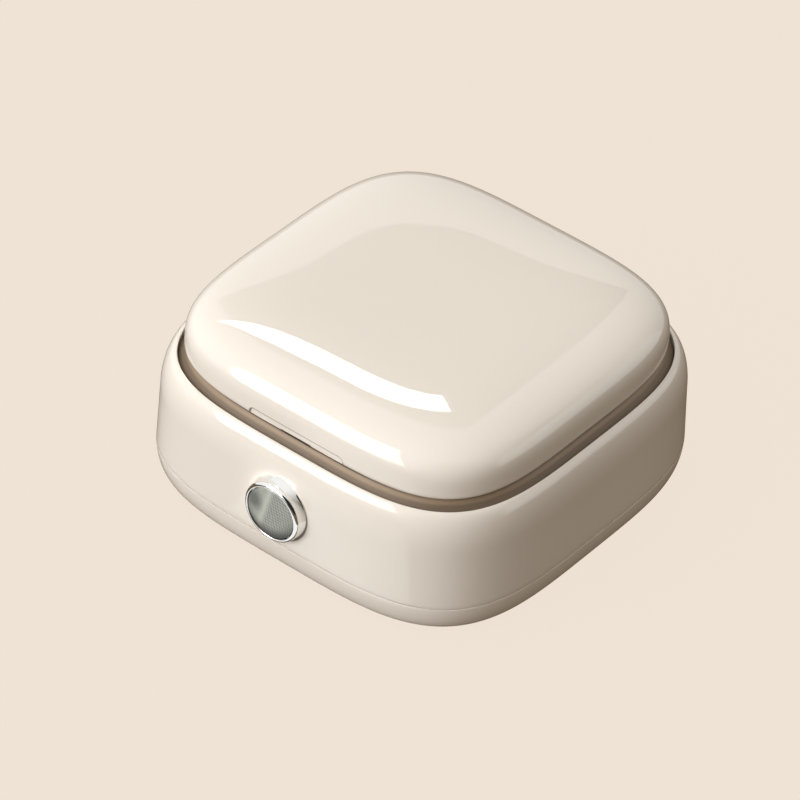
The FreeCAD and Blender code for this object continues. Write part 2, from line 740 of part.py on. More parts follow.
def switch_board():
    """Small upright board behind the button, screwed to two bosses of the housing."""
    plate = block("switch_plate", "2 * switch_plate_half", "switch_sheet", "switch_plate_height",
                  "-switch_plate_half", "-switch_back", "button_height - switch_plate_height / 2")
    holes = [rod(f"switch_plate_hole_{side}", "board_screw", "6", f"{side} * switch_screw_x",
                 "-switch_back - 2",
                 "button_height", "Y") for side in (-1, 1)]
    return cut("switch_plate_drilled", plate, *holes)


def lead(points, radius, bend):
    """Round wire along straight runs joined by tangent arcs."""
    points = [Vector(*p) for p in points]
    edges = []
    last = points[0]
    for before, here, after in zip(points, points[1:], points[2:]):
        back = (before - here).normalize()
        on = (after - here).normalize()
        half = back.getAngle(on) / 2
        reach = bend / math.tan(half)
        start = here + back * reach
        end = here + on * reach
        middle = here + (back + on).normalize() * (bend / math.sin(half) - bend)
        edges += [Part.LineSegment(last, start).toShape(), Part.Arc(start, middle, end).toShape()]
        last = end
    edges.append(Part.LineSegment(last, points[-1]).toShape())
    path = Part.Wire(edges)
    section = Part.Wire([Part.Circle(points[0], points[1] - points[0], radius).toShape()])
    return path.makePipeShell([section], True, True)


def switch_lead():
    """Two wires from the switch board's lower edge to the front connector of the driver board."""
    top = size("button_height - switch_plate_height / 2")
    low = size("board_low + board_sheet + plug_middle")
    back = -size("switch_back - switch_sheet / 2")
    wires = [lead([(x, back, top), (x, back, low), (x, FRONT_PLUG_Y, low)], 0.55, 3.0)
             for x in (FRONT_PLUG_X + 2.5, FRONT_PLUG_X + 5.0)]
    return shaped("switch_wires", Part.makeCompound(wires))


def transducer_leads():
    """Two wires from the disc's lower face to the side connector of the driver board."""
    top = size("tank_floor - tank_sheet - disc_height")
    low = size("board_low + board_sheet + plug_middle")
    start = 12.0
    wires = [lead([(start, y, top), (start, y, low), (SIDE_PLUG_X, y, low)], 0.45, 1.4)
             for y in (-1.25, 1.25)]
    return shaped("disc_wires", Part.makeCompound(wires))


# ---------------------------------------------------------------- driver board

def driver_board():
    """Sheet with four screw holes, padded from one sketch and drilled by a second."""
    body = doc.addObject("PartDesign::Body", "board")
    sketch = body.newObject("Sketcher::SketchObject", "board_outline")
    sketch.AttachmentSupport = [(origin_plane(body, "XY_Plane"), "")]
    sketch.MapMode = "FlatFace"
    wide = "2 * board_half"
    deep = "board_front + board_back"
    step = "board_front + board_step"
    tail = f"{wide} - board_tail_inset"
    outline(sketch, [("0", "0"), (wide, "0"), (wide, step), (tail, step), (tail, deep),
                     ("board_tail_inset", deep), ("board_tail_inset", step), ("0", step)])
    pad = body.newObject("PartDesign::Pad", "board_pad")
    pad.Profile = sketch
    bind(pad, Length="board_sheet")
    doc.recompute()
    drill = body.newObject("Sketcher::SketchObject", "board_drill")
    drill.AttachmentSupport = [(origin_plane(body, "XY_Plane"), "")]
    drill.MapMode = "FlatFace"
    for n, (x, y) in enumerate(BOARD_HOLES):
        u, v = f"board_half + {x}", f"board_front + {y}"
        drill.addGeometry(Part.Circle(Vector(size(u), size(v), 0), Vector(0, 0, 1), 1.0), False)
        for kind, text in (("DistanceX", u), ("DistanceY", v)):
            index = drill.addConstraint(Sketcher.Constraint(kind, -1, 1, n, 3, size(text)))
            drill.setExpression(f"Constraints[{index}]", bound(text))
        index = drill.addConstraint(Sketcher.Constraint("Radius", n, 1.0))
        drill.setExpression(f"Constraints[{index}]", bound("board_screw + 0.1"))
    holes = body.newObject("PartDesign::Pocket", "board_holes")
    holes.Profile = drill
    holes.Type = "ThroughAll"
    holes.Reversed = True
    return move_to(body, "-board_half", "-board_front", "board_low")


def board_capacitors():
    """Two electrolytic cans with a crimp groove, in the tall space behind the tank."""
    cans = []
    for n, x in enumerate(("-20", "-12.5")):
        can = rod(f"can_{n}", "can_radius", "can_height", x, "can_place_y", BOARD_TOP)
        crimp = doc.addObject("Part::Torus", f"crimp_{n}")
        bind(crimp, Radius1="crimp_ring", Radius2="crimp_wire")
        move_to(crimp, x, "can_place_y", BOARD_TOP + " + crimp_height")
        cans.append(cut(f"capacitor_{n}", can, crimp))
    return group("capacitor_set", cans)


def board_inductor():
    """Drum core: two flanges with the winding between them."""
    above = BOARD_TOP + " + drum_flange"
    low = rod("drum_low", "drum_radius", "drum_flange", "drum_x", "drum_y", BOARD_TOP)
    winding = rod("drum_winding", "winding_radius", "winding_height", "drum_x", "drum_y", above)
    high = rod("drum_high", "drum_radius", "drum_flange", "drum_x", "drum_y", above + " + winding_height")
    return fuse("inductor", low, winding, high)


def board_transistors():
    """Two flat power transistors, each with its metal tab."""
    cases = []
    for n, x in enumerate(("-16", "-4")):
        case = block(f"transistor_case_{n}", "case_width", "case_depth", "case_height", x, "case_y",
                     BOARD_TOP)
        tab = block(f"transistor_tab_{n}", "tab_width", "tab_depth", "tab_height",
                    f"{x} + (case_width - tab_width) / 2", "case_y + case_depth", BOARD_TOP)
        cases.append(fuse(f"transistor_{n}", case, tab))
    return group("transistor_set", cases)


def board_chips():
    """Controller, its driver and a row of small passives."""
    chips = [block("controller", "controller_width", "controller_width", "controller_height", "-20", "-22",
                   BOARD_TOP),
             block("gate_driver", "driver_width", "driver_depth", "driver_height", "-4", "-24", BOARD_TOP)]
    for n in range(6):
        chips.append(block(f"passive_{n}", "passive_length", "passive_width", "passive_height",
                           f"6 + {n} * passive_pitch", "-25", BOARD_TOP))
    return group("chip_set", chips)


def board_connectors():
    """Plug housings that the transducer's and the switch's wires end in."""
    front = block("front_connector", "plug_length", "plug_depth", "plug_height", f"{FRONT_PLUG_X}",
                  f"{FRONT_PLUG_Y}", BOARD_TOP)
    side = block("side_connector", "plug_depth", "plug_length", "plug_height", f"{SIDE_PLUG_X}",
                 "-plug_length / 2", BOARD_TOP)
    return group("connector_set", [front, side])


def usb_socket():
    """Flat metal socket shell with rounded sides and a contact tongue."""
    back = "body_width / 2 - socket_inset - socket_depth"

    def tube(name, shrink, start, length):
        flat = block(f"{name}_flat", "socket_width - socket_height", length, f"socket_height - 2 * {shrink}",
                     "-(socket_width - socket_height) / 2", start, f"{BOARD_TOP} + {shrink}")
        ends = [rod(f"{name}_end_{side}", f"socket_height / 2 - {shrink}", length,
                    f"{side} * (socket_width - socket_height) / 2", start,
                    f"{BOARD_TOP} + socket_height / 2", "Y") for side in (-1, 1)]
        return fuse(name, flat, *ends)

    shell = cut("socket_shell", tube("socket_outside", "0", back, "socket_depth"),
                tube("socket_inside", "socket_sheet", back + " + socket_back_wall", "socket_depth"))
    tongue = block("socket_tongue", "tongue_width", "socket_depth - 2", "tongue_height", "-tongue_width / 2",
                   back + " + 1", f"{BOARD_TOP} + (socket_height - tongue_height) / 2")
    return fuse("socket", shell, tongue)


# ---------------------------------------------------------------- lid hardware

def lid_hinge():
    """Hinge leaf: middle knuckle, upright and a flat leg screwed up into the lid."""
    wide = "2 * knuckle_half"
    low = "lid_low + leaf_clearance"
    back = "hinge_back - 1 + leaf_upright"
    knuckle = rod("leaf_knuckle", "knuckle_radius", wide, "-knuckle_half", "hinge_back", "hinge_height", "X")
    upright = block("leaf_upright", wide, "leaf_upright", f"{low} + leaf_sheet - hinge_height",
                    "-knuckle_half", "hinge_back - 1", "hinge_height")
    leg = block("leaf_leg", wide, f"{back} - leaf_front", "leaf_sheet", "-knuckle_half", "leaf_front", low)
    tools = [rod("leaf_bore", "pin_radius + pin_play", wide + " + 2", "-knuckle_half - 1", "hinge_back",
                 "hinge_height", "X")]
    for side in (-1, 1):
        x = f"{side} * leaf_screw_x"
        tools.append(cone(f"leaf_sink_{side}", x, "leaf_screw_y", low))
        tools.append(rod(f"leaf_hole_{side}", "board_screw", "6", x, "leaf_screw_y", "lid_low - 1"))
    return cut("leaf", fuse("leaf_blank", knuckle, upright, leg), *tools)


def hinge_screws():
    return group("hinge_screw_set", [countersunk_screw(f"hinge_screw_{side}", f"{side} * leaf_screw_x",
                                                       "leaf_screw_y", "lid_low + leaf_clearance", "6")
                                     for side in (-1, 1)])


def liner_screws():
    return group("liner_screw_set", [countersunk_screw(f"liner_screw_{n}", f"{i} * liner_screw",
                                                       f"{j} * liner_screw", "lid_low + liner_gap", "6")
                                     for n, (i, j) in enumerate(CORNERS)])


def lid_catch():
    """Bent spring strip on the liner; its tail drops into the collar's front slot."""
    wide = "2 * catch_strip_half"
    low = "collar_top - 0.7"
    leg = block("catch_leg", wide, "6", "catch_strip", "-catch_strip_half", "-catch_front", LINER_TOP)
    tail = block("catch_tail", wide, "catch_strip", f"{LINER_TOP} + catch_strip - ({low})",
                 "-catch_strip_half", "-catch_front", low)
    return fuse("catch", leg, tail)


# ---------------------------------------------------------------- assembly

node("base_housing", base_housing())
node("bottom_cover", bottom_cover())
node("rim_collar", rim_collar())
node("tank", tank())
node("tank_seal", flat_ring("tank_gasket", size("flange_half - 0.2"), size("tank_half + 1.2"),
                            size("ledge_high"), size("ledge_high + seal_height")))
node("transducer_disc", rod("piezo_disc", "disc_radius", "disc_height", "0", "0",
                            "tank_floor - tank_sheet - disc_height"))
node("transducer_leads", transducer_leads())
node("driver_board", driver_board())
node("board_inductor", board_inductor())
node("board_capacitors", board_capacitors())
node("board_transistors", board_transistors())
node("board_chips", board_chips())
node("board_connectors", board_connectors())
node("usb_socket", usb_socket())
node("button_bezel", button_bezel())
node("button_nut", button_nut())
node("button_cap", button_cap())
node("stem_clip", stem_clip())
node("button_spring", button_spring())
node("switch_board", switch_board())
node("tact_switch", tact_switch())
node("switch_plunger", rod("plunger", "plunger_radius", "plunger_length", "0", "-stem_back", "button_height",
                           "Y"))
node("switch_lead", switch_lead())
node("rubber_feet", rubber_feet())
node("cover_screws", cover_screws())
node("board_screws", board_screws())
node("switch_screws", switch_screws())
node("hinge_pin", rod("pin", "pin_radius", "2 * hinge_half - 1", "-hinge_half + 0.5", "hinge_back",
                      "hinge_height", "X"))
node("lid_shell", lid_shell())
node("lid_liner", lid_liner())
node("lid_seal", flat_ring("lid_gasket", size("lid_seal_half"), size("lid_seal_inner"),
                           size("collar_top + 0.35"), size("lid_low + liner_gap")))
node("lid_hinge", lid_hinge())
node("hinge_screws", hinge_screws())
node("liner_screws", liner_screws())
node("lid_catch", lid_catch())

doc.removeObject(reckoner.Name)
doc.recompute()

# ---------------------------------------------------------------- checks and export

broken = [thing.Name for thing in doc.Objects if "Invalid" in thing.State or "Error" in thing.State]
assert not broken, f"failed objects: {broken}"
for name, thing in nodes.items():
    shape = thing.Shape
    assert not shape.isNull() and shape.isValid(), f"{name} has no valid shape"
    assert shape.Solids, f"{name} has no solid"

os.makedirs("parts", exist_ok=True)
for name, thing in nodes.items():
    thing.Shape.exportStep(f"parts/{name}.step")
    box = thing.Shape.optimalBoundingBox(False)
    print(f"{name:18s} solids {len(thing.Shape.Solids):2d} volume {thing.Shape.Volume:10.1f}"
          f"  x {box.XMin:7.2f} {box.XMax:7.2f}  y {box.YMin:7.2f} {box.YMax:7.2f}"
          f"  z {box.ZMin:6.2f} {box.ZMax:6.2f}")
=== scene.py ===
"""Looks of the small ultrasonic cleaner: smooth shells, bright button ring, steel tank and inner parts."""

import json
import math

import bpy
import numpy as np
from mathutils import Matrix, Vector


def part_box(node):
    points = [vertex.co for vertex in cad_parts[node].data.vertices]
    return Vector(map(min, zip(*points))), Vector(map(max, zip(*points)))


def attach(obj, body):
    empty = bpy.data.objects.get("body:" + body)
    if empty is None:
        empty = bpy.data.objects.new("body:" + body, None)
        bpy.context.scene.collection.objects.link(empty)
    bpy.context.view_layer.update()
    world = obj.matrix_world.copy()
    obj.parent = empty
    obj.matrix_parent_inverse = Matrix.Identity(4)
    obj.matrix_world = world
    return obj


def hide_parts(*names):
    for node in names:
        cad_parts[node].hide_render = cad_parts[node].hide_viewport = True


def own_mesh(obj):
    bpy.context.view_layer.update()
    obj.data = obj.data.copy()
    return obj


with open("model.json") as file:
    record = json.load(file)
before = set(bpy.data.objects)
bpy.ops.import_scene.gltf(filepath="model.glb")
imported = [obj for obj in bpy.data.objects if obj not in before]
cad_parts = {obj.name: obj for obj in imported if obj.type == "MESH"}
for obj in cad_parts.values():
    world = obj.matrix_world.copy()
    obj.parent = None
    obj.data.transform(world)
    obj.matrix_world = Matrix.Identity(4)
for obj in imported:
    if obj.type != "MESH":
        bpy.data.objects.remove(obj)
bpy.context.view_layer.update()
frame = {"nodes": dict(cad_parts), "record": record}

MM = 0.001

# ---------------------------------------------------------------- places taken from the frame, in millimetres


def span(node):
    """Low and high corner of a CAD node's box in millimetres."""
    low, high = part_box(node)
    return np.array(low) / MM, np.array(high) / MM


housing_low, housing_high = span("base_housing")
cover_low, cover_high = span("bottom_cover")
lid_low, lid_high = span("lid_shell")
bezel_low, bezel_high = span("button_bezel")
cap_low, cap_high = span("button_cap")
collar_high = span("rim_collar")[1]
pin_low, pin_high = span("hinge_pin")
spring_low, spring_high = span("button_spring")

CENTRE_Y = (housing_low[1] + housing_high[1]) / 2
BODY_HALF = (housing_high[0] - housing_low[0]) / 2
BODY_POWER = 3.83
LID_POWER = 4.0

TOE_LOW = cover_low[2]
TOE_INSET = 3.3
BELLY_Z = 9.9
SIDE_DRAFT = 0.62
SHOULDER_Z = 27.2
RIM_Z = housing_high[2]
RIM_HALF = 57.1
WALL = 2.2
SEAM_Z = housing_low[2]
SEAM_GAP = 0.3
SEAM_ROUND = 0.05
LEDGE_LOW = 31.0
LEDGE_HIGH = 33.0
LEDGE_HALF = 47.0
LIP_ROUND = 0.3
LIP_DROP = 0.35
COVER_FLOOR = 2.0
COVER_CORNER = 1.6
COVER_FLOOR_INSET = 3.0
COVER_WALL_INSET = 1.2

LID_HALF = (lid_high[0] - lid_low[0]) / 2
LID_FRONT_Y = CENTRE_Y - LID_HALF
LID_LIP = 0.67
LID_EDGE_Z = lid_low[2]
LID_BELLY_Z = 42.9
LID_TOP_Z = lid_high[2]
LID_SIDE_POWER = 4.73
LID_TOP_POWER = 3.72
LID_WALL = 2.0
RECESS_HALF = 16.0
RECESS_RISE = 2.3
RECESS_DEPTH = 0.5
RECESS_CORNER = 1.5
RECESS_SOFT = 0.22
FINE_BAND = 1.4
FINE_STEP = 0.12

HINGE_Z = (pin_low[2] + pin_high[2]) / 2
NOTCH_HALF = 20.5
NOTCH_Z = HINGE_Z - 2.6
LEAF_HALF = 9.3
LEAF_RISE = 2.6

BUTTON_Z = (bezel_low[2] + bezel_high[2]) / 2
BEZEL_FRONT = bezel_low[1]
BEZEL_RADIUS = (bezel_high[0] - bezel_low[0]) / 2
CAP_FRONT = cap_low[1]
CAP_RADIUS = (cap_high[0] - cap_low[0]) / 2
BEZEL_BORE = CAP_RADIUS + 0.2
BEZEL_SEAT = CENTRE_Y - 60.6
HOLE_HALF = 6.62
SOCKET_HALF = 4.82
SOCKET_LOW = 4.7
SOCKET_HIGH = 8.5

BARREL_RADIUS = 6.5
BARREL_BORE = 5.2
BARREL_BACK = 54.9
WEB_BACK = 56.1
WEB_FRONT = 57.5
STEM_HOLE = 2.3
SEAT_SINK = 0.1
POCKET_RISE = 0.8
DISC_THICK = 2.0
STEM_RADIUS = 2.2
GROOVE_RADIUS = 1.6
GROOVE_FRONT = 56.0
GROOVE_BACK = 55.4
STEM_END = 53.1
SPRING_WIRE = 0.25
SPRING_TURNS = 3.5
RIM_OUTER = 9.2
RIM_ROUND = 0.22
RIM_DROP = 1.15

# ---------------------------------------------------------------- mesh helpers


def new_piece(name, points, faces, smooth_angle=35.0):
    """A smooth-shaded mesh object from points in millimetres and faces as lists of point numbers."""
    mesh = bpy.data.meshes.new(name)
    mesh.from_pydata((np.asarray(points) * MM).tolist(), [], faces)
    mesh.validate()
    mesh.update()
    mesh.shade_smooth()
    mesh.set_sharp_from_angle(angle=math.radians(smooth_angle))
    piece = bpy.data.objects.new(name, mesh)
    bpy.context.scene.collection.objects.link(piece)
    return piece


def grid_faces(rows, columns, loop_rows=False):
    """Quads of a grid: rows run down the outside, columns run counter-clockwise seen from above."""
    r = np.arange(rows if loop_rows else rows - 1)[:, None]
    c = np.arange(columns)[None, :]
    below = (r + 1) % rows
    beside = (c + 1) % columns
    corners = [r * columns + c, below * columns + c, below * columns + beside, r * columns + beside]
    quads = np.stack(corners, axis=-1)
    return quads.reshape(-1, 4).tolist()


def window_rim(columns, rows, first_column, last_column):
    """Point numbers once round a window's rim: along the first row, down, back along the last row and up."""
    across = np.arange(first_column, last_column)
    down = np.asarray(rows)
    top = down[0] * columns + across
    right = down[:-1] * columns + last_column
    bottom = down[-1] * columns + across[::-1] + 1
    left = down[:0:-1] * columns + first_column
    return np.concatenate([top, right, bottom, left])


def open_window(grid, faces, x_half, side, rows):
    """Takes the quads inside a window out of both skins of a closed grid and joins the two rims by a wall.

    The window spans x from -x_half to x_half on the front (side -1) or back (side 1); rows are the row
    numbers of its height levels, from the top down, on the outer skin and on the inner one.
    """
    columns = grid.shape[1]
    outer, inner = rows
    level = grid[outer[0]]
    inside = (np.abs(level[:, 0]) <= x_half + 0.001) & (side * (level[:, 1] - CENTRE_Y) > 0)
    first_column, last_column = np.flatnonzero(inside)[[0, -1]]
    quads = np.asarray(faces)
    row, column = quads[:, 0] // columns, quads[:, 0] % columns
    between_columns = (column >= first_column) & (column < last_column)
    in_outer = (row >= outer[0]) & (row < outer[-1])
    in_inner = (row >= inner[-1]) & (row < inner[0])
    kept = quads[~(between_columns & (in_outer | in_inner))]
    rim_out = window_rim(columns, outer, first_column, last_column)
    rim_in = window_rim(columns, inner, first_column, last_column)
    wall = np.stack([np.roll(rim_out, -1), rim_out, rim_in, np.roll(rim_in, -1)], axis=-1)
    return np.vstack([kept, wall]).tolist()


def grid_piece(name, grid, loop_rows=False, cap_first=False, cap_last=False, smooth_angle=35.0, window=None):
    """A closed skin from a grid of points; an end row may be closed by a fan of triangles to its middle."""
    rows, columns = grid.shape[:2]
    points = grid.reshape(-1, 3)
    faces = grid_faces(rows, columns, loop_rows)
    if window:
        faces = open_window(grid, faces, *window)
    ring = np.arange(columns)
    following = (ring + 1) % columns
    extra = []
    if cap_first:
        middle = len(points) + len(extra)
        extra.append(grid[0].mean(axis=0))
        faces += np.stack([np.full(columns, middle), ring, following], axis=-1).tolist()
    if cap_last:
        middle = len(points) + len(extra)
        extra.append(grid[-1].mean(axis=0))
        last = (rows - 1) * columns
        faces += np.stack([last + following, last + ring, np.full(columns, middle)], axis=-1).tolist()
    if extra:
        points = np.vstack([points, extra])
    return new_piece(name, points, faces, smooth_angle)


def arc(centre, radii, start, end, count):
    """Points (half width, height) of an ellipse's arc: centre + radii * (cos, sin) of angles in degrees."""
    turn = np.radians(np.linspace(start, end, count))
    return np.stack([centre[0] + radii[0] * np.cos(turn), centre[1] + radii[1] * np.sin(turn)], axis=-1)


# ---------------------------------------------------------------- rounded-square rings

FULL_WIDTH = 50.0
STRAIGHT = 30.0


def straight_columns(marks, step):
    """Sideways places from -STRAIGHT to STRAIGHT at an even step, with the marks added."""
    places = np.concatenate([np.arange(-STRAIGHT, STRAIGHT + step / 2, step), np.asarray(marks, float)])
    return np.unique(places.round(4))


def ring_points(halves, power, front_marks=(), back_marks=(), step=1.0, corner=120):
    """x and y of rounded squares |x|^power + |y|^power = half^power, one row for each half width.

    Along the front and back the columns keep their x on every wide ring, so an edge cut at one x runs
    straight; round the two ends they are spread evenly by angle. Columns run counter-clockwise from above.
    """
    half = np.asarray(halves, float)[:, None]
    shrink = np.minimum(1.0, half / FULL_WIDTH)

    def along(places, side):
        x = np.asarray(places, float)[None, :] * shrink
        y = side * (half**power - np.abs(x) ** power) ** (1 / power)
        return x, y

    front_x, front_y = along(straight_columns(front_marks, step), -1)
    back_x, back_y = along(straight_columns(back_marks, step)[::-1], 1)
    low_turn = np.arctan2(front_y[:, -1:], front_x[:, -1:])
    share = (np.arange(1, corner) / corner)[None, :]
    turn = low_turn * (1 - 2 * share)
    reach = half * (np.cos(turn) ** power + np.abs(np.sin(turn)) ** power) ** (-1 / power)
    end_x, end_y = reach * np.cos(turn), reach * np.sin(turn)
    x = np.hstack([front_x, end_x, back_x, -end_x])
    y = np.hstack([front_y, end_y, back_y, -end_y])
    return x, y


def shell_grid(profile, power, **marks):
    """Grid of points that carries a profile of (half width, height) rows round a rounded square."""
    profile = np.asarray(profile, float)
    x, y = ring_points(profile[:, 0], power, **marks)
    z = np.broadcast_to(profile[:, 1:2], x.shape)
    return np.stack([x, y + CENTRE_Y, z.copy()], axis=-1)


def twin(places, gap=0.02):
    """Each place twice, a hair apart, so that a wall can stand between the two columns."""
    return [p + side * gap / 2 for p in places for side in (-1, 1)]


def smooth_step(value, low, high):
    """0 below low, 1 above high, an S-curve between them."""
    share = np.clip((value - low) / (high - low), 0.0, 1.0)
    return share * share * (3 - 2 * share)


# ---------------------------------------------------------------- body shells


def base_half(z):
    """Half width of the body at a height: elliptic quarter at the toe, straight draft, elliptic shoulder."""
    z = np.asarray(z, float)
    tuck = np.clip((BELLY_Z - z) / (BELLY_Z - TOE_LOW), 0, 1)
    toe = BODY_HALF - TOE_INSET * (1 - np.sqrt(1 - tuck**2))
    side = BODY_HALF - SIDE_DRAFT * (z - BELLY_Z) / (SHOULDER_Z - BELLY_Z)
    lean = np.clip((z - SHOULDER_Z) / (RIM_Z - SHOULDER_Z), 0, 1)
    shoulder = RIM_HALF + (BODY_HALF - SIDE_DRAFT - RIM_HALF) * np.sqrt(1 - lean**2)
    return np.where(z < BELLY_Z, toe, np.where(z < SHOULDER_Z, side, shoulder))


HOLE_LEVELS = np.array([BUTTON_Z + HOLE_HALF, SHOULDER_Z, BUTTON_Z, BUTTON_Z - HOLE_HALF])


def level_rows(profile, levels):
    """Row numbers of given heights, from the top down, on a profile's outer skin and on its inner skin."""
    rows = np.array([np.flatnonzero(np.abs(profile[:, 1] - z) < 1e-6) for z in levels])
    order = np.argsort(-profile[rows[0], 0])
    return rows[:, order[0]], rows[:, order[-1]]


def housing_profile():
    """Closed section of the housing: shoulder and side down to the seam, inner wall up, round the ledge."""
    span_x = BODY_HALF - SIDE_DRAFT - RIM_HALF
    shoulder = arc((RIM_HALF, SHOULDER_Z), (span_x, RIM_Z - SHOULDER_Z), 88, 0, 46)
    shoulder = shoulder[shoulder[:, 1] > HOLE_LEVELS[0]]
    side_z = np.concatenate([HOLE_LEVELS, np.linspace(HOLE_LEVELS[-1], SEAM_Z + SEAM_ROUND, 5)[1:]])
    side = np.stack([base_half(side_z), side_z], axis=-1)
    edge_half = base_half(SEAM_Z)
    seam = arc((edge_half - SEAM_ROUND, SEAM_Z + SEAM_ROUND), (SEAM_ROUND, SEAM_ROUND), 0, -90, 5)[1:]
    inner_z = np.concatenate([[SEAM_Z], HOLE_LEVELS[::-1], [LEDGE_LOW]])
    inner = np.stack([base_half(inner_z) - WALL, inner_z], axis=-1)
    ledge = [(LEDGE_HALF, LEDGE_LOW), (LEDGE_HALF, LEDGE_HIGH), (RIM_HALF, LEDGE_HIGH)]
    lip = arc((RIM_HALF + LIP_ROUND, RIM_Z - LIP_DROP), (LIP_ROUND, LIP_ROUND), 180, 110, 6)
    return np.vstack([shoulder, side, seam, inner, ledge, lip])


def make_base_housing():
    """Outer shell: the profile carried round the rounded square, its top levelled off in the hinge notch.

    The hole for the button's barrel goes through the front wall; it is square, hidden behind the ring.
    """
    profile = housing_profile()
    grid = shell_grid(profile, BODY_POWER, front_marks=[-HOLE_HALF, HOLE_HALF],
                      back_marks=twin([-NOTCH_HALF, NOTCH_HALF]))
    in_notch = (np.abs(grid[..., 0]) < NOTCH_HALF) & (grid[..., 1] > CENTRE_Y)
    grid[..., 2] = np.where(in_notch, np.minimum(grid[..., 2], NOTCH_Z), grid[..., 2])
    hole = (HOLE_HALF, -1, level_rows(profile, HOLE_LEVELS))
    return grid_piece("base_housing_shell", grid, loop_rows=True, window=hole)


def cover_profile():
    """Section of the cover: inner floor and wall, locating lip, seam edge, outer toe, flat underside."""
    top = SEAM_Z - SEAM_GAP
    toe_z = TOE_LOW + (SOCKET_LOW - TOE_LOW) * np.linspace(1, 0, 16)[1:] ** 2
    toe_z = np.concatenate([SOCKET_LEVELS, toe_z])
    toe = np.stack([base_half(toe_z), toe_z], axis=-1)
    edge_half = float(base_half(top))
    edge = arc((edge_half - SEAM_ROUND, top - SEAM_ROUND), (SEAM_ROUND, SEAM_ROUND), 90, 0, 5)
    lip_half = BODY_HALF - WALL - SEAM_GAP
    lip_top = cover_high[2]
    floor_z = TOE_LOW + COVER_FLOOR
    corner_z = floor_z + COVER_CORNER
    floor_half = lip_half - COVER_FLOOR_INSET
    inner_half = lip_half - COVER_WALL_INSET
    middle_half = 0.5
    wall_z = np.sort(np.append(SOCKET_LEVELS, corner_z))
    wall_half = np.interp(wall_z, [floor_z, corner_z], [floor_half, inner_half])
    wall = np.stack([wall_half, wall_z], axis=-1)
    inside = np.vstack([wall, [(inner_half, lip_top), (lip_half, lip_top), (lip_half, top)]])
    floor = [(middle_half, floor_z), (floor_half, floor_z)]
    underside = [(half, TOE_LOW) for half in (56.0, 40.0, 20.0, middle_half)]
    return np.vstack([floor, inside, edge, toe, underside])


SOCKET_LEVELS = np.linspace(SOCKET_HIGH, SOCKET_LOW, 8)


def make_bottom_cover():
    """Dished cover; the window for the power socket is cut through its back wall."""
    profile = cover_profile()
    grid = shell_grid(profile, BODY_POWER, back_marks=[-SOCKET_HALF, SOCKET_HALF])
    socket = (SOCKET_HALF, 1, level_rows(profile, SOCKET_LEVELS))
    return grid_piece("bottom_cover_shell", grid, cap_first=True, cap_last=True, window=socket)


def lid_half_at(z):
    """Half width of the lid's dome at a height: half * (1 - rise^top power)^(1 / side power)."""
    rise = np.clip((z - LID_BELLY_Z) / (LID_TOP_Z - LID_BELLY_Z), 0, 1)
    return LID_HALF * (1 - rise**LID_TOP_POWER) ** (1 / LID_SIDE_POWER)


def dome_profile(half, crown_z, wide_rows, steep_rows):
    """Dome from its middle outwards: (w/half)^side power + (rise/crown)^top power = 1."""
    crown = crown_z - LID_BELLY_Z
    turn_at = half * 0.8
    w = np.linspace(0.4, turn_at, wide_rows)
    rise = (1 - (w / half) ** LID_SIDE_POWER) ** (1 / LID_TOP_POWER)
    top = np.stack([w, LID_BELLY_Z + crown * rise], axis=-1)
    lean = math.acos((turn_at / half) ** (LID_SIDE_POWER / 2))
    a = lean * (1 - np.arange(1, steep_rows + 1) / steep_rows) ** 1.6
    side = np.stack([half * np.cos(a) ** (2 / LID_SIDE_POWER),
                     LID_BELLY_Z + crown * np.sin(a) ** (2 / LID_TOP_POWER)], axis=-1)
    return np.vstack([top, side])


def press_recess(skin):
    """Presses a flat thumb recess with rounded ends into the lid's front: y is pushed in to one plane."""
    over_x = np.abs(skin[..., 0]) - (RECESS_HALF - RECESS_CORNER)
    over_z = skin[..., 2] - (LID_EDGE_Z + RECESS_RISE - RECESS_CORNER)
    outside_box = np.hypot(np.maximum(over_x, 0), np.maximum(over_z, 0))
    beyond = outside_box + np.minimum(np.maximum(over_x, over_z), 0)
    inside = 1 - smooth_step(beyond - RECESS_CORNER, -RECESS_SOFT, 0.0)
    flat = CENTRE_Y - (LID_HALF - RECESS_DEPTH)
    pushed = np.maximum(skin[..., 1], flat)
    in_front = skin[..., 1] < CENTRE_Y - FULL_WIDTH
    skin[..., 1] += np.where(in_front, inside * (pushed - skin[..., 1]), 0.0)


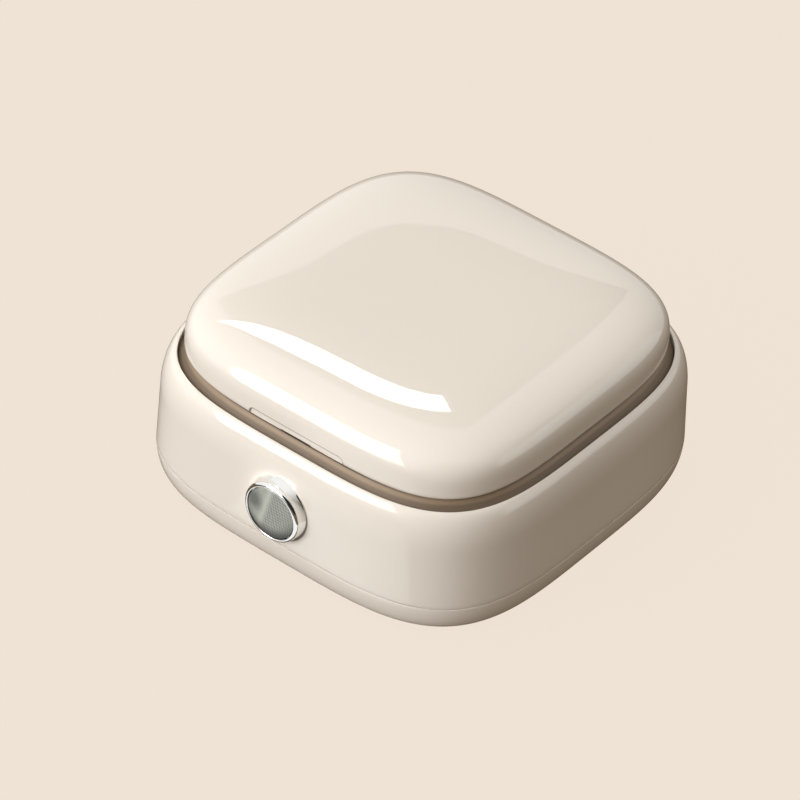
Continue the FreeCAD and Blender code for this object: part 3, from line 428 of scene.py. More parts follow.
def make_lid_shell():
    """Pillow-shaped lid: dome, rounded lower lip and inner wall, with the recess pressed into its front.

    Just above the belly the rows stand closer together, so that the recess gets a clean upper edge.
    """
    dome = dome_profile(LID_HALF, LID_TOP_Z, 26, 64)
    spare = 0.05
    above = dome[dome[:, 1] > LID_BELLY_Z + FINE_BAND + spare]
    fine_z = np.arange(LID_BELLY_Z + FINE_BAND, LID_BELLY_Z, -FINE_STEP)
    band = np.stack([lid_half_at(fine_z), fine_z], axis=-1)
    belly = dome[dome[:, 1] <= LID_BELLY_Z]
    outer = np.vstack([above, band, belly])
    lip = arc((LID_HALF - LID_LIP, LID_BELLY_Z), (LID_LIP, LID_BELLY_Z - LID_EDGE_Z), 0, -90, 16)[1:]
    inner_half = LID_HALF - LID_WALL
    turn_in = arc((inner_half + LIP_ROUND, LID_EDGE_Z + LIP_ROUND), (LIP_ROUND, LIP_ROUND), 270, 180, 5)
    inner = dome_profile(inner_half, LID_TOP_Z - LID_WALL, 8, 16)[::-1]
    profile = np.vstack([outer, lip, turn_in, inner])
    before, past, mark_step = 3.0, 0.8, 0.2
    recess_end = np.arange(RECESS_HALF - before, RECESS_HALF + past, mark_step)
    grid = shell_grid(profile, LID_POWER, front_marks=np.concatenate([-recess_end, recess_end]),
                      back_marks=twin([-LEAF_HALF, LEAF_HALF]))
    press_recess(grid[:len(outer) + len(lip)])
    in_slot = (np.abs(grid[..., 0]) < LEAF_HALF) & (grid[..., 1] > CENTRE_Y + FULL_WIDTH)
    grid[..., 2] = np.where(in_slot, np.maximum(grid[..., 2], LID_EDGE_Z + LEAF_RISE), grid[..., 2])
    return grid_piece("lid_shell_dome", grid, cap_first=True, cap_last=True)


# ---------------------------------------------------------------- turned pieces


def turned_grid(profile, columns=160):
    """Grid of (radius, height) rows spun about +Z: (radius cos turn, radius sin turn, height)."""
    turn = np.linspace(0, 2 * math.pi, columns, endpoint=False)[None, :]
    profile = np.asarray(profile, float)
    radius, height = profile[:, :1], profile[:, 1:]
    level = np.broadcast_to(height, (len(profile), columns))
    return np.stack([radius * np.cos(turn), radius * np.sin(turn), level], axis=-1)


def face_front(grid):
    """Turns a grid spun about +Z so that it looks along -Y from the button's axis; heights are then -y."""
    return np.stack([grid[..., 0], -grid[..., 2], grid[..., 1] + BUTTON_Z], axis=-1)


def make_button_bezel():
    """Bright ring: a bead that falls away outwards, a side that flares to the shell, and the guide bore."""
    front = -BEZEL_FRONT
    seat = -BEZEL_SEAT
    crown = BEZEL_BORE + RIM_ROUND
    lead_in = arc((crown, front - RIM_ROUND), (RIM_ROUND, RIM_ROUND), 180, 90, 7)[:-1]
    bead = np.vstack([lead_in, arc((crown, front - RIM_DROP), (RIM_OUTER - crown, RIM_DROP), 90, 6, 24)])
    flare_at = np.linspace(0.0, 1.0, 12)[1:]
    flare = np.stack([RIM_OUTER + (BEZEL_RADIUS - RIM_OUTER) * flare_at**1.6,
                      front - RIM_DROP - (front - RIM_DROP - seat - SEAT_SINK) * flare_at], axis=-1)
    barrel = [(BARREL_RADIUS, seat + SEAT_SINK), (BARREL_RADIUS, BARREL_BACK), (BARREL_BORE, BARREL_BACK)]
    web = [(BARREL_BORE, WEB_BACK), (STEM_HOLE, WEB_BACK), (STEM_HOLE, WEB_FRONT), (BARREL_BORE, WEB_FRONT)]
    pocket = [(BARREL_BORE, seat + POCKET_RISE), (BEZEL_BORE, seat + POCKET_RISE)]
    profile = np.vstack([bead, flare, barrel, web, pocket])
    return grid_piece("button_bezel_ring", face_front(turned_grid(profile)), loop_rows=True)


def make_button_cap():
    """Flat satin disc with an eased edge, on a stem with a groove for its clip."""
    front = -CAP_FRONT
    back = front - DISC_THICK
    ease = 0.3
    middle = 0.4
    face = [(r, front) for r in (middle, 3.0, 6.0)]
    edge = arc((CAP_RADIUS - ease, front - ease), (ease, ease), 90, 0, 7)
    bevel, tip_bevel = 0.1, 0.2
    stem = [(CAP_RADIUS, back), (STEM_RADIUS, back), (STEM_RADIUS, GROOVE_FRONT + bevel),
            (GROOVE_RADIUS, GROOVE_FRONT), (GROOVE_RADIUS, GROOVE_BACK), (STEM_RADIUS, GROOVE_BACK),
            (STEM_RADIUS, STEM_END + tip_bevel), (STEM_RADIUS - tip_bevel, STEM_END), (middle, STEM_END)]
    profile = np.vstack([face, edge, stem])
    return grid_piece("button_cap_disc", face_front(turned_grid(profile)), cap_first=True, cap_last=True)


def make_button_spring():
    """Return spring: a round wire carried along a helix about the button's axis, its two ends closed.

    Along the wire the helix turns by 2 pi for each turn while it climbs evenly from the web to the cap;
    around the wire a circle stands square to the path.
    """
    radius = (spring_high[0] - spring_low[0]) / 2 - SPRING_WIRE
    back, front = -spring_high[1] + SPRING_WIRE, -spring_low[1] - SPRING_WIRE
    share = np.linspace(0.0, 1.0, 260)[:, None]
    turn = 2 * math.pi * SPRING_TURNS * share
    pitch = (front - back) / (2 * math.pi * SPRING_TURNS * radius)
    lean = math.atan(pitch)
    about = np.linspace(0, 2 * math.pi, 12, endpoint=False)[None, :]
    out = SPRING_WIRE * np.cos(about)
    up = SPRING_WIRE * np.sin(about)
    reach = radius + out
    x = reach * np.cos(turn) + up * math.sin(lean) * np.sin(turn)
    z = reach * np.sin(turn) - up * math.sin(lean) * np.cos(turn)
    height = back + (front - back) * share + up * math.cos(lean) + 0 * out
    grid = np.stack([x, -height, z + BUTTON_Z], axis=-1)[::-1]
    return grid_piece("button_spring_coil", grid, cap_first=True, cap_last=True, smooth_angle=60.0)


# ---------------------------------------------------------------- materials


class Nodes:
    """Short hand for a node tree."""

    def __init__(self, tree):
        self.tree = tree

    def feed(self, node, inputs):
        """Sets a node's inputs: a socket is linked, anything else becomes the input's own value."""
        for key, value in inputs.items():
            if isinstance(value, bpy.types.NodeSocket):
                self.tree.links.new(value, node.inputs[key])
            else:
                node.inputs[key].default_value = value

    def add(self, kind, inputs=None, **settings):
        node = self.tree.nodes.new(kind)
        for key, value in settings.items():
            setattr(node, key, value)
        self.feed(node, inputs or {})
        return node


def bare_material(name):
    """A new material whose node tree is still empty."""
    made = bpy.data.materials.new(name)
    made.use_nodes = True
    made.node_tree.nodes.clear()
    return made


def srgb(r, g, b):
    """Linear colour from an everyday 0 to 255 one."""
    def channel(v):
        v /= 255
        return v / 12.92 if v <= 0.04045 else ((v + 0.055) / 1.055) ** 2.4
    return (channel(r), channel(g), channel(b), 1.0)


def group(name, inputs, outputs, build):
    """A shader node group with named sockets: inputs are (name, type, default)."""
    tree = bpy.data.node_groups.new(name, "ShaderNodeTree")
    for label, kind, default in inputs:
        socket = tree.interface.new_socket(label, in_out="INPUT", socket_type=kind)
        socket.default_value = default
    for label, kind in outputs:
        tree.interface.new_socket(label, in_out="OUTPUT", socket_type=kind)
    n = Nodes(tree)
    way_in = n.add("NodeGroupInput")
    way_out = n.add("NodeGroupOutput")
    for label, socket in build(n, way_in).items():
        tree.links.new(socket, way_out.inputs[label])
    return tree


COLOUR = "NodeSocketColor"
FLOAT = "NodeSocketFloat"
VECTOR = "NodeSocketVector"


def build_mottle(n, way_in):
    """Two sizes of noise that lighten and darken a colour a little."""
    place = n.add("ShaderNodeTexCoord").outputs["Object"]
    wide = n.add("ShaderNodeTexNoise", {"Vector": place, "Scale": way_in.outputs["Scale"], "Detail": 4.0})
    fine = n.add("ShaderNodeTexNoise", {"Vector": place, "Scale": way_in.outputs["Fine"], "Detail": 3.0})
    both = n.add("ShaderNodeMath", {0: wide.outputs["Fac"], 1: fine.outputs["Fac"]}, operation="ADD")
    centred = n.add("ShaderNodeMath", {0: both.outputs[0], 1: 1.0}, operation="SUBTRACT")
    scaled = n.add("ShaderNodeMath", {0: centred.outputs[0], 1: way_in.outputs["Amount"], 2: 1.0},
                   operation="MULTIPLY_ADD")
    shade = n.add("ShaderNodeVectorMath", {0: way_in.outputs["Color"], "Scale": scaled.outputs[0]},
                  operation="SCALE")
    return {"Color": shade.outputs[0], "Value": both.outputs[0]}


def build_wear(n, way_in):
    """Mask that is 1 on outward edges, broken up by noise."""
    place = n.add("ShaderNodeTexCoord").outputs["Object"]
    bend = n.add("ShaderNodeNewGeometry").outputs["Pointiness"]
    edge = n.add("ShaderNodeMapRange", {"Value": bend, "From Min": way_in.outputs["Start"],
                                        "From Max": way_in.outputs["End"]})
    noise = n.add("ShaderNodeTexNoise", {"Vector": place, "Scale": 900.0, "Detail": 5.0})
    broken = n.add("ShaderNodeMath", {0: edge.outputs[0], 1: noise.outputs["Fac"]}, operation="MULTIPLY")
    scaled = n.add("ShaderNodeMath", {0: broken.outputs[0], 1: way_in.outputs["Amount"]},
                   operation="MULTIPLY", use_clamp=True)
    return {"Mask": scaled.outputs[0]}


def build_specks(n, way_in):
    """Mask of small separate dust specks."""
    place = n.add("ShaderNodeTexCoord").outputs["Object"]
    cells = n.add("ShaderNodeTexVoronoi", {"Vector": place, "Scale": way_in.outputs["Scale"]})
    near = n.add("ShaderNodeMapRange", {"Value": cells.outputs["Distance"],
                                        "From Min": way_in.outputs["Size"], "From Max": 0.0})
    few = n.add("ShaderNodeSeparateColor", {"Color": cells.outputs["Color"]})
    chosen = n.add("ShaderNodeMath", {0: few.outputs[0], 1: way_in.outputs["Rarity"]},
                   operation="GREATER_THAN")
    mask = n.add("ShaderNodeMath", {0: near.outputs[0], 1: chosen.outputs[0]},
                 operation="MULTIPLY", use_clamp=True)
    return {"Mask": mask.outputs[0]}


def build_brushing(n, way_in):
    """Fine scratches: noise stretched along one direction given by a stretch per axis."""
    place = n.add("ShaderNodeTexCoord").outputs["Object"]
    drawn = n.add("ShaderNodeVectorMath", {0: place, 1: way_in.outputs["Stretch"]}, operation="MULTIPLY")
    noise = n.add("ShaderNodeTexNoise", {"Vector": drawn.outputs[0], "Scale": 1.0, "Detail": 6.0,
                                         "Roughness": 0.7})
    return {"Value": noise.outputs["Fac"]}


MOTTLE = group("mottle",
               [("Color", COLOUR, (0.8, 0.8, 0.8, 1)), ("Scale", FLOAT, 60.0), ("Fine", FLOAT, 900.0),
                ("Amount", FLOAT, 0.05)],
               [("Color", COLOUR), ("Value", FLOAT)], build_mottle)
WEAR = group("edge_wear", [("Start", FLOAT, 0.52), ("End", FLOAT, 0.6), ("Amount", FLOAT, 0.5)],
             [("Mask", FLOAT)], build_wear)
SPECKS = group("dust_specks", [("Scale", FLOAT, 500.0), ("Size", FLOAT, 0.12), ("Rarity", FLOAT, 0.9)],
               [("Mask", FLOAT)], build_specks)
BRUSHING = group("brushing", [("Stretch", VECTOR, (40.0, 4000.0, 4000.0))],
                 [("Value", FLOAT)], build_brushing)


class Finish:
    """A material built up in layers: each works on the colour, roughness, metal share or bump so far."""

    def __init__(self, name, colour, roughness, metallic=0.0):
        self.made = bare_material(name)
        self.n = Nodes(self.made.node_tree)
        self.place = self.n.add("ShaderNodeTexCoord").outputs["Object"]
        self.colour = colour
        self.rough = roughness
        self.metal = metallic
        self.normal = None

    def math(self, operation, *values, clamp=False):
        node = self.n.add("ShaderNodeMath", dict(enumerate(values)), operation=operation, use_clamp=clamp)
        return node.outputs[0]

    def axis(self, name):
        """One coordinate of the surface point, in metres."""
        return self.n.add("ShaderNodeSeparateXYZ", {0: self.place}).outputs[name]

    def both(self, *masks):
        """Product of masks and plain numbers."""
        product = masks[0]
        for mask in masks[1:]:
            product = self.math("MULTIPLY", product, mask)
        return product

    def ramp(self, value, start, end):
        """0 where a value in metres is at start, 1 where it is at end, both in millimetres."""
        return self.n.add("ShaderNodeMapRange", {0: value, 1: start * MM, 2: end * MM}).outputs[0]

    def between(self, value, low, high, soft=0.02):
        """Mask that is 1 where a value in metres lies between two bounds, soft at both, in millimetres."""
        return self.both(self.ramp(value, low - soft, low + soft), self.ramp(value, high + soft, high - soft))

    def along(self, direction):
        """How far the surface point lies along a direction, in metres."""
        node = self.n.add("ShaderNodeVectorMath", {0: self.place, 1: direction}, operation="DOT_PRODUCT")
        return node.outputs["Value"]

    def reach(self, x, y, z, use=(1, 1, 1)):
        """Distance in metres from a point in millimetres, counted only along the axes in use."""
        shifted = self.n.add("ShaderNodeVectorMath", {0: self.place, 1: (x * MM, y * MM, z * MM)},
                             operation="SUBTRACT").outputs[0]
        flat = self.n.add("ShaderNodeVectorMath", {0: shifted, 1: use}, operation="MULTIPLY").outputs[0]
        return self.n.add("ShaderNodeVectorMath", {0: flat}, operation="LENGTH").outputs["Value"]

    def recess_rim_shade(self):
        """Mask along the upper edge of the lid's thumb recess, for painted shade in its corner."""
        x = self.math("ABSOLUTE", self.axis("X"))
        over_x = self.math("MAXIMUM", self.math("SUBTRACT", x, (RECESS_HALF - RECESS_CORNER) * MM), 0.0)
        height = (LID_EDGE_Z + RECESS_RISE - RECESS_CORNER) * MM
        over_z = self.math("MAXIMUM", self.math("SUBTRACT", self.axis("Z"), height), 0.0)
        away = self.math("SQRT", self.math("ADD", self.both(over_x, over_x), self.both(over_z, over_z)))
        edge = self.between(away, RECESS_CORNER - 0.26, RECESS_CORNER + 0.20, 0.12)
        on_lid = self.between(self.axis("Z"), LID_EDGE_Z, LID_EDGE_Z + RECESS_RISE + 0.5)
        at_front = self.between(self.axis("Y"), LID_FRONT_Y - 1.0, LID_FRONT_Y + 1.6)
        return self.both(edge, on_lid, at_front)

    def blend(self, mask, before, after):
        return self.n.add("ShaderNodeMix", {0: mask, 6: before, 7: after}, data_type="RGBA").outputs[2]

    def zone(self, mask, colour, roughness=None, metallic=None):
        """Another finish where the mask is 1."""
        self.colour = self.blend(mask, self.colour, colour)
        if roughness is not None:
            self.rough = self.n.add("ShaderNodeMix", {0: mask, 2: self.rough, 3: roughness}).outputs[0]
        if metallic is not None:
            self.metal = self.n.add("ShaderNodeMix", {0: mask, 2: self.metal, 3: metallic}).outputs[0]
        return self

    def mottled(self, amount, scale=60.0, fine=900.0, spread=0.06):
        inputs = {"Color": self.colour, "Scale": scale, "Fine": fine, "Amount": amount}
        inner = self.n.add("ShaderNodeGroup", inputs, node_tree=MOTTLE)
        self.colour = inner.outputs["Color"]
        centred = self.math("SUBTRACT", inner.outputs["Value"], 1.0)
        self.rough = self.math("MULTIPLY_ADD", centred, spread * 2, self.rough, clamp=True)
        return self

    def specked(self, strength, colour=(0.75, 0.72, 0.68, 1), scale=500.0):
        inner = self.n.add("ShaderNodeGroup", {"Scale": scale}, node_tree=SPECKS)
        return self.zone(self.both(inner.outputs["Mask"], strength), colour, 0.8)

    def worn(self, amount, colour, roughness=0.3):
        inner = self.n.add("ShaderNodeGroup", {"Amount": amount}, node_tree=WEAR)
        return self.zone(inner.outputs["Mask"], colour, roughness)

    def brushed(self, stretch, tone=0.15, strength=0.1):
        inner = self.n.add("ShaderNodeGroup", {"Stretch": stretch}, node_tree=BRUSHING)
        dark = self.both(inner.outputs["Value"], tone)
        self.colour = self.blend(dark, self.colour, (0.2, 0.2, 0.2, 1))
        self.rough = self.math("MULTIPLY_ADD", inner.outputs["Value"], tone, self.rough, clamp=True)
        return self.bumped(inner.outputs["Value"], strength, 0.01)

    def bumped(self, height, strength, distance):
        """Lifts the surface by a height from 0 to 1; the distance is in millimetres."""
        inputs = {"Height": height, "Strength": strength, "Distance": distance * MM}
        if self.normal is not None:
            inputs["Normal"] = self.normal
        self.normal = self.n.add("ShaderNodeBump", inputs).outputs[0]
        return self

    def grained(self, strength, scale=2500.0, distance=0.02):
        noise = self.n.add("ShaderNodeTexNoise", {"Vector": self.place, "Scale": scale, "Detail": 4.0})
        return self.bumped(noise.outputs["Fac"], strength, distance)

    def done(self, **shader):
        inputs = {"Base Color": self.colour, "Roughness": self.rough, "Metallic": self.metal}
        if self.normal is not None:
            inputs["Normal"] = self.normal
        inputs.update({key.replace("_", " "): value for key, value in shader.items()})
        surface = self.n.add("ShaderNodeBsdfPrincipled", inputs)
        self.n.add("ShaderNodeOutputMaterial", {"Surface": surface.outputs[0]})
        return self.made


def cream_gloss():
    """Glossy cream plastic, nearly even: painted soft shade by the ring, along the recess and at the catch
    slot, a few dust specks.
    """
    finish = Finish("cream_gloss", srgb(238, 230, 218), 0.03)
    finish.mottled(0.010, scale=22.0, fine=300.0, spread=0.01).specked(0.04, scale=260.0)
    # painted shade: contact shade on the front wall at the lower right of the button's ring
    near_ring = finish.between(finish.reach(0, 0, BUTTON_Z, (1, 0, 1)), 0.0, BEZEL_RADIUS + 0.30, 0.20)
    front_wall = finish.between(finish.axis("Y"), -70.0, CENTRE_Y - 58.0)
    right, up = 0.75, -0.66
    start = up * BUTTON_Z
    shaded_side = finish.ramp(finish.along((right, 0.0, up)), start - 2.0, start + 7.0)
    finish.zone(finish.both(near_ring, front_wall, shaded_side), srgb(112, 90, 68))
    # painted shade along the upper edge of the thumb recess
    finish.zone(finish.both(finish.recess_rim_shade(), 0.75), srgb(112, 90, 66))
    # painted shade: a dark mark on the lid's front edge where the catch slot's gap is
    slot = finish.both(finish.between(finish.axis("X"), -5.4, 5.0, 0.4),
                       finish.between(finish.axis("Z"), LID_EDGE_Z - 0.1, LID_EDGE_Z + 0.32, 0.1))
    lid_front = finish.between(finish.axis("Y"), LID_FRONT_Y - 1.0, LID_FRONT_Y + 1.9)
    finish.zone(finish.both(slot, lid_front), srgb(74, 60, 46), 0.5)
    return finish.grained(0.012, 320.0).done(IOR=1.5)


def taupe_satin():
    """Satin taupe plastic with a fine spark-eroded grain, with painted shade under the lid and at the rim."""
    finish = Finish("taupe_satin", srgb(158, 136, 111), 0.48)
    z = finish.axis("Z")
    # painted shade on the collar under the lid's edge and down at the housing's rim
    under_lid_shade = finish.between(z, collar_high[2] - 1.1, collar_high[2] + 1.0, 0.4)
    rim_gap_shade = finish.between(z, RIM_Z - 2.0, RIM_Z + 0.35, 0.3)
    finish.zone(finish.both(finish.math("MAXIMUM", under_lid_shade, rim_gap_shade), 0.7), srgb(84, 68, 52))
    finish.mottled(0.05).grained(0.25, 3000.0).specked(0.1)
    return finish.done(Specular_IOR_Level=0.3)


def bright_chrome():
    """Polished plating with faint polishing haze."""
    return Finish("bright_chrome", (0.90, 0.90, 0.89, 1), 0.05, 1.0).mottled(0.02, spread=0.03).done()


def satin_disc():
    """Satin grey metal with a fine slanted hatch, a pale slanted band and a soft darker cloud of painted
    reflection, and painted shade towards its lower edge.
    """
    finish = Finish("satin_disc", srgb(166, 169, 159), 0.40, 0.25)
    noise = finish.n.add("ShaderNodeTexNoise", {"Vector": finish.place, "Scale": 620.0, "Detail": 2.0})
    stray = noise.outputs["Fac"]
    turn = math.radians(38.0)
    waves = []
    for right, up, pitch in ((math.cos(turn), -math.sin(turn), 1.50), (math.sin(turn), math.cos(turn), 1.18)):
        phase = finish.both(finish.along((right, 0.0, up)), 2 * math.pi / (pitch * MM))
        waves.append(finish.math("SINE", finish.math("ADD", finish.both(stray, 2.6), phase)))
    hatch = finish.both(*waves)
    lean = -0.28
    slant = finish.along((1.0, 0.0, lean))
    start = lean * BUTTON_Z
    # painted reflection: a pale slanted band across the disc
    band = finish.between(slant, start - 3.1, start - 1.5, 0.9)
    finish.zone(finish.both(band, 0.6), srgb(204, 206, 194))
    right_part = finish.ramp(slant, start - 2.4, start - 0.8)
    lines = finish.both(finish.math("MULTIPLY_ADD", hatch, 0.36, 0.22, clamp=True), right_part)
    finish.zone(lines, srgb(66, 69, 64))
    # painted reflection: a soft darker cloud towards the disc's left
    reflection_cloud = finish.ramp(finish.reach(-5.6, 0, BUTTON_Z + 1.9, (1, 0, 0.72)), 3.4, 1.0)
    finish.zone(finish.both(reflection_cloud, 0.72), srgb(72, 74, 70))
    # painted shade: darker towards the disc's lower edge
    edge_shade = finish.ramp(finish.reach(-0.7, 0, BUTTON_Z + 1.4, (1, 0, 1)), 5.8, 8.6)
    low_side = finish.ramp(finish.axis("Z"), BUTTON_Z + 3.0, BUTTON_Z - 5.0)
    finish.zone(finish.both(edge_shade, low_side, 0.9), srgb(54, 54, 50))
    finish.mottled(0.30, scale=260.0, fine=1500.0, spread=0.1)
    return finish.bumped(hatch, 0.3, 0.02).done()


def drawn_steel():
    """Deep-drawn stainless sheet with upright drawing marks and a few specks of scale."""
    finish = Finish("drawn_steel", (0.66, 0.66, 0.65, 1), 0.16, 1.0)
    return finish.mottled(0.06).brushed((2500.0, 2500.0, 40.0)).specked(0.1).done()


def silicone_grey():
    """Pale grey rubber with lint on it."""
    return Finish("silicone_grey", srgb(205, 202, 196), 0.5).mottled(0.04).specked(0.25).grained(0.1).done()


def white_liner():
    """Off-white satin plastic of the lid's tray."""
    finish = Finish("white_liner", srgb(232, 228, 220), 0.28).mottled(0.008)
    return finish.grained(0.05, 1800.0).specked(0.03).done()


def foot_rubber():
    """Dark rubber, scuffed paler on its edges."""
    finish = Finish("foot_rubber", srgb(52, 50, 48), 0.75).mottled(0.12).worn(0.5, srgb(110, 106, 100), 0.9)
    return finish.specked(0.4).grained(0.4).done()


def fired_ceramic():
    """Pale ceramic disc whose flat faces carry a fired silver coat, short of the edge."""
    finish = Finish("fired_ceramic", srgb(196, 186, 160), 0.6).mottled(0.08)
    silver_hole, silver_edge = 1.5, 17.5
    silver = finish.between(finish.reach(0, CENTRE_Y, 0, (1, 1, 0)), silver_hole, silver_edge)
    return finish.zone(silver, (0.62, 0.60, 0.56, 1), 0.35, 0.8).grained(0.2).specked(0.1).done()


def circuit_board():
    """Green solder mask with paler traces under it and scattered tinned pads."""
    finish = Finish("circuit_board", srgb(22, 84, 50), 0.3)
    n = finish.n
    tracks = n.add("ShaderNodeTexBrick", {"Vector": finish.place, "Scale": 160.0, "Mortar Size": 0.03,
                                          "Color1": (0, 0, 0, 1), "Color2": (0, 0, 0, 1),
                                          "Mortar": (1, 1, 1, 1)})
    finish.zone(finish.both(tracks.outputs["Fac"], 0.5), srgb(60, 140, 84))
    cells = n.add("ShaderNodeTexVoronoi", {"Vector": finish.place, "Scale": 420.0})
    pads = n.add("ShaderNodeMapRange", {0: cells.outputs["Distance"], 1: 0.16, 2: 0.12}).outputs[0]
    draw = n.add("ShaderNodeSeparateColor", {0: cells.outputs["Color"]}).outputs[1]
    chosen = finish.math("GREATER_THAN", draw, 0.6)
    finish.zone(finish.both(pads, chosen), (0.7, 0.69, 0.66, 1), 0.25, 1.0)
    return finish.mottled(0.06).specked(0.2).grained(0.1).done()


def wire_insulation():
    """Red insulation, black on the wires behind the middle and on those left of it."""
    finish = Finish("wire_insulation", srgb(150, 26, 20), 0.4)
    side = finish.between(finish.axis("Y"), CENTRE_Y, CENTRE_Y + 20.0)
    other = finish.between(finish.axis("X"), -9.7, 0.0)
    black = finish.math("MAXIMUM", side, other)
    return finish.zone(black, srgb(30, 30, 32)).mottled(0.08).specked(0.2).grained(0.1).done()


def wound_ferrite():
    """Dark drum core with copper turns between its flanges."""
    finish = Finish("wound_ferrite", srgb(48, 48, 50), 0.6)
    low = float(span("board_inductor")[0][2])
    lower_flange, upper_flange = low + 1.2, low + 7.6
    turns = finish.between(finish.axis("Z"), lower_flange, upper_flange)
    finish.zone(turns, srgb(176, 96, 48), 0.3, 0.9)
    wire_pitch = 0.4
    wave = finish.math("SINE", finish.both(finish.axis("Z"), 2 * math.pi / (wire_pitch * MM)))
    finish.bumped(finish.both(wave, turns), 0.8, 0.08)
    return finish.mottled(0.08).grained(0.3).done()


def capacitor_sleeve():
    """Shrunk navy sleeve with a pale stripe and a bare aluminium top."""
    finish = Finish("capacitor_sleeve", srgb(26, 34, 66), 0.3)
    low, high = span("board_capacitors")
    stripe_depth, top_depth, beyond = 0.7, 0.1, 1.0
    stripe = finish.between(finish.axis("Y"), low[1] - beyond, low[1] + stripe_depth)
    finish.zone(stripe, srgb(188, 190, 196))
    top = finish.between(finish.axis("Z"), high[2] - top_depth, high[2] + beyond)
    finish.zone(top, (0.7, 0.7, 0.7, 1), 0.3, 1.0)
    return finish.mottled(0.08).specked(0.2).grained(0.08).done()


def black_epoxy():
    """Moulded black cases with tinned metal at the board and on the transistors' tabs."""
    finish = Finish("black_epoxy", srgb(34, 34, 36), 0.5)
    board_top = float(span("driver_board")[1][2])
    legs = finish.between(finish.axis("Z"), board_top - 0.1, board_top + 0.3)
    tab = finish.both(finish.between(finish.axis("Y"), CENTRE_Y + 32.1, CENTRE_Y + 34.5),
                      finish.between(finish.axis("Z"), board_top, board_top + 1.0))
    finish.zone(finish.math("MAXIMUM", legs, tab), (0.72, 0.71, 0.68, 1), 0.3, 1.0)
    return finish.mottled(0.12).specked(0.25).grained(0.35).done()


def white_nylon():
    """Natural nylon with faint mould lines."""
    finish = Finish("white_nylon", srgb(226, 220, 202), 0.4)
    line_pitch = 1.2
    lines = finish.math("SINE", finish.both(finish.axis("Z"), 2 * math.pi / (line_pitch * MM)))
    return finish.bumped(lines, 0.15, 0.03).mottled(0.05).specked(0.15).done()


def plated_shell():
    """Nickel-plated sheet, scratched by plugs; the tongue inside is black."""
    finish = Finish("plated_shell", (0.74, 0.73, 0.70, 1), 0.22, 1.0).brushed((3000.0, 60.0, 3000.0))
    low, high = span("usb_socket")
    middle = (low[2] + high[2]) / 2
    half_thick, half_wide = 0.4, 3.35
    tongue = finish.both(finish.between(finish.axis("Z"), middle - half_thick, middle + half_thick),
                         finish.between(finish.axis("X"), -half_wide, half_wide))
    return finish.zone(tongue, srgb(24, 24, 26), 0.5, 0.0).mottled(0.06).done()


def zinc_plate():
    """Zinc-plated steel, faintly warm, with fine marks and cloudy patches."""
    finish = Finish("zinc_plate", (0.62, 0.61, 0.57, 1), 0.3, 1.0)
    return finish.mottled(0.15, scale=180.0).brushed((900.0, 900.0, 900.0), 0.2).grained(0.15).done()


def spring_wire_steel():
    """Hard drawn spring steel, slightly blued, with marks along it."""
    finish = Finish("spring_wire_steel", (0.50, 0.50, 0.52, 1), 0.28, 1.0)
    return finish.mottled(0.12, scale=300.0).brushed((400.0, 1800.0, 400.0), 0.2).specked(0.15).done()


def satin_hinge_steel():
    """Ground stainless hinge leaf, brushed from side to side, brighter where it rubs."""
    finish = Finish("satin_hinge_steel", (0.58, 0.58, 0.57, 1), 0.28, 1.0)
    finish.brushed((50.0, 2600.0, 2600.0), 0.2).mottled(0.08)
    return finish.worn(0.5, (0.8, 0.8, 0.78, 1), 0.15).done()


def paint(piece, made):
    piece.data.materials.clear()
    piece.data.materials.append(made)


# ---------------------------------------------------------------- assembly

SLOTS = {entry["node"]: entry["material_slot"] for entry in frame["record"]["subparts"]}
BODIES = frame["record"]["behaviour"]["bodies"]
BODY_OF = {node: body for body, members in BODIES.items() for node in members}


def install(piece, node):
    """Gives a piece its finish and its body, and hides the CAD node it stands for."""
    paint(piece, FINISHES[SLOTS[node]])
    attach(piece, BODY_OF[node])
    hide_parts(node)
    return piece


FINISHES = {
    "cream_shell": cream_gloss(), "taupe_plastic": taupe_satin(), "deep_drawn_steel": drawn_steel(),
    "silicone": silicone_grey(), "piezo_ceramic": fired_ceramic(), "lead_insulation": wire_insulation(),
    "circuit_board": circuit_board(), "ferrite": wound_ferrite(), "capacitor_sleeve": capacitor_sleeve(),
    "black_epoxy": black_epoxy(), "white_nylon": white_nylon(), "plated_shell": plated_shell(),
    "bright_ring": bright_chrome(), "zinc_nut": zinc_plate(), "satin_disc": satin_disc(),
    "spring_steel": spring_wire_steel(), "foot_rubber": foot_rubber(), "screw_steel": zinc_plate(),
    "liner_plastic": white_liner(), "hinge_steel": satin_hinge_steel(),
}

REPLACED = {
    "base_housing": make_base_housing, "bottom_cover": make_bottom_cover, "lid_shell": make_lid_shell,
    "button_bezel": make_button_bezel, "button_cap": make_button_cap, "button_spring": make_button_spring,
}
made_pieces = {node: install(make(), node) for node, make in REPLACED.items()}
for node, thing in frame["nodes"].items():
    if node not in REPLACED:
        paint(thing, FINISHES[SLOTS[node]])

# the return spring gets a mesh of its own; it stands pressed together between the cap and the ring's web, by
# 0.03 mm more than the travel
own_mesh(made_pieces["button_spring"])

# ---------------------------------------------------------------- camera

LOOK_TURN = 0.6423
LOOK_RISE = 0.6858
LOOK_ROLL = 0.0637
LOOK_AWAY = 1378.9
LOOK_AT = Vector((0.0, CENTRE_Y, 28.0))
FOCAL = 5084.0
AIM_SIDE = -24.9
AIM_DOWN = 19.7
PICTURE = 800.0


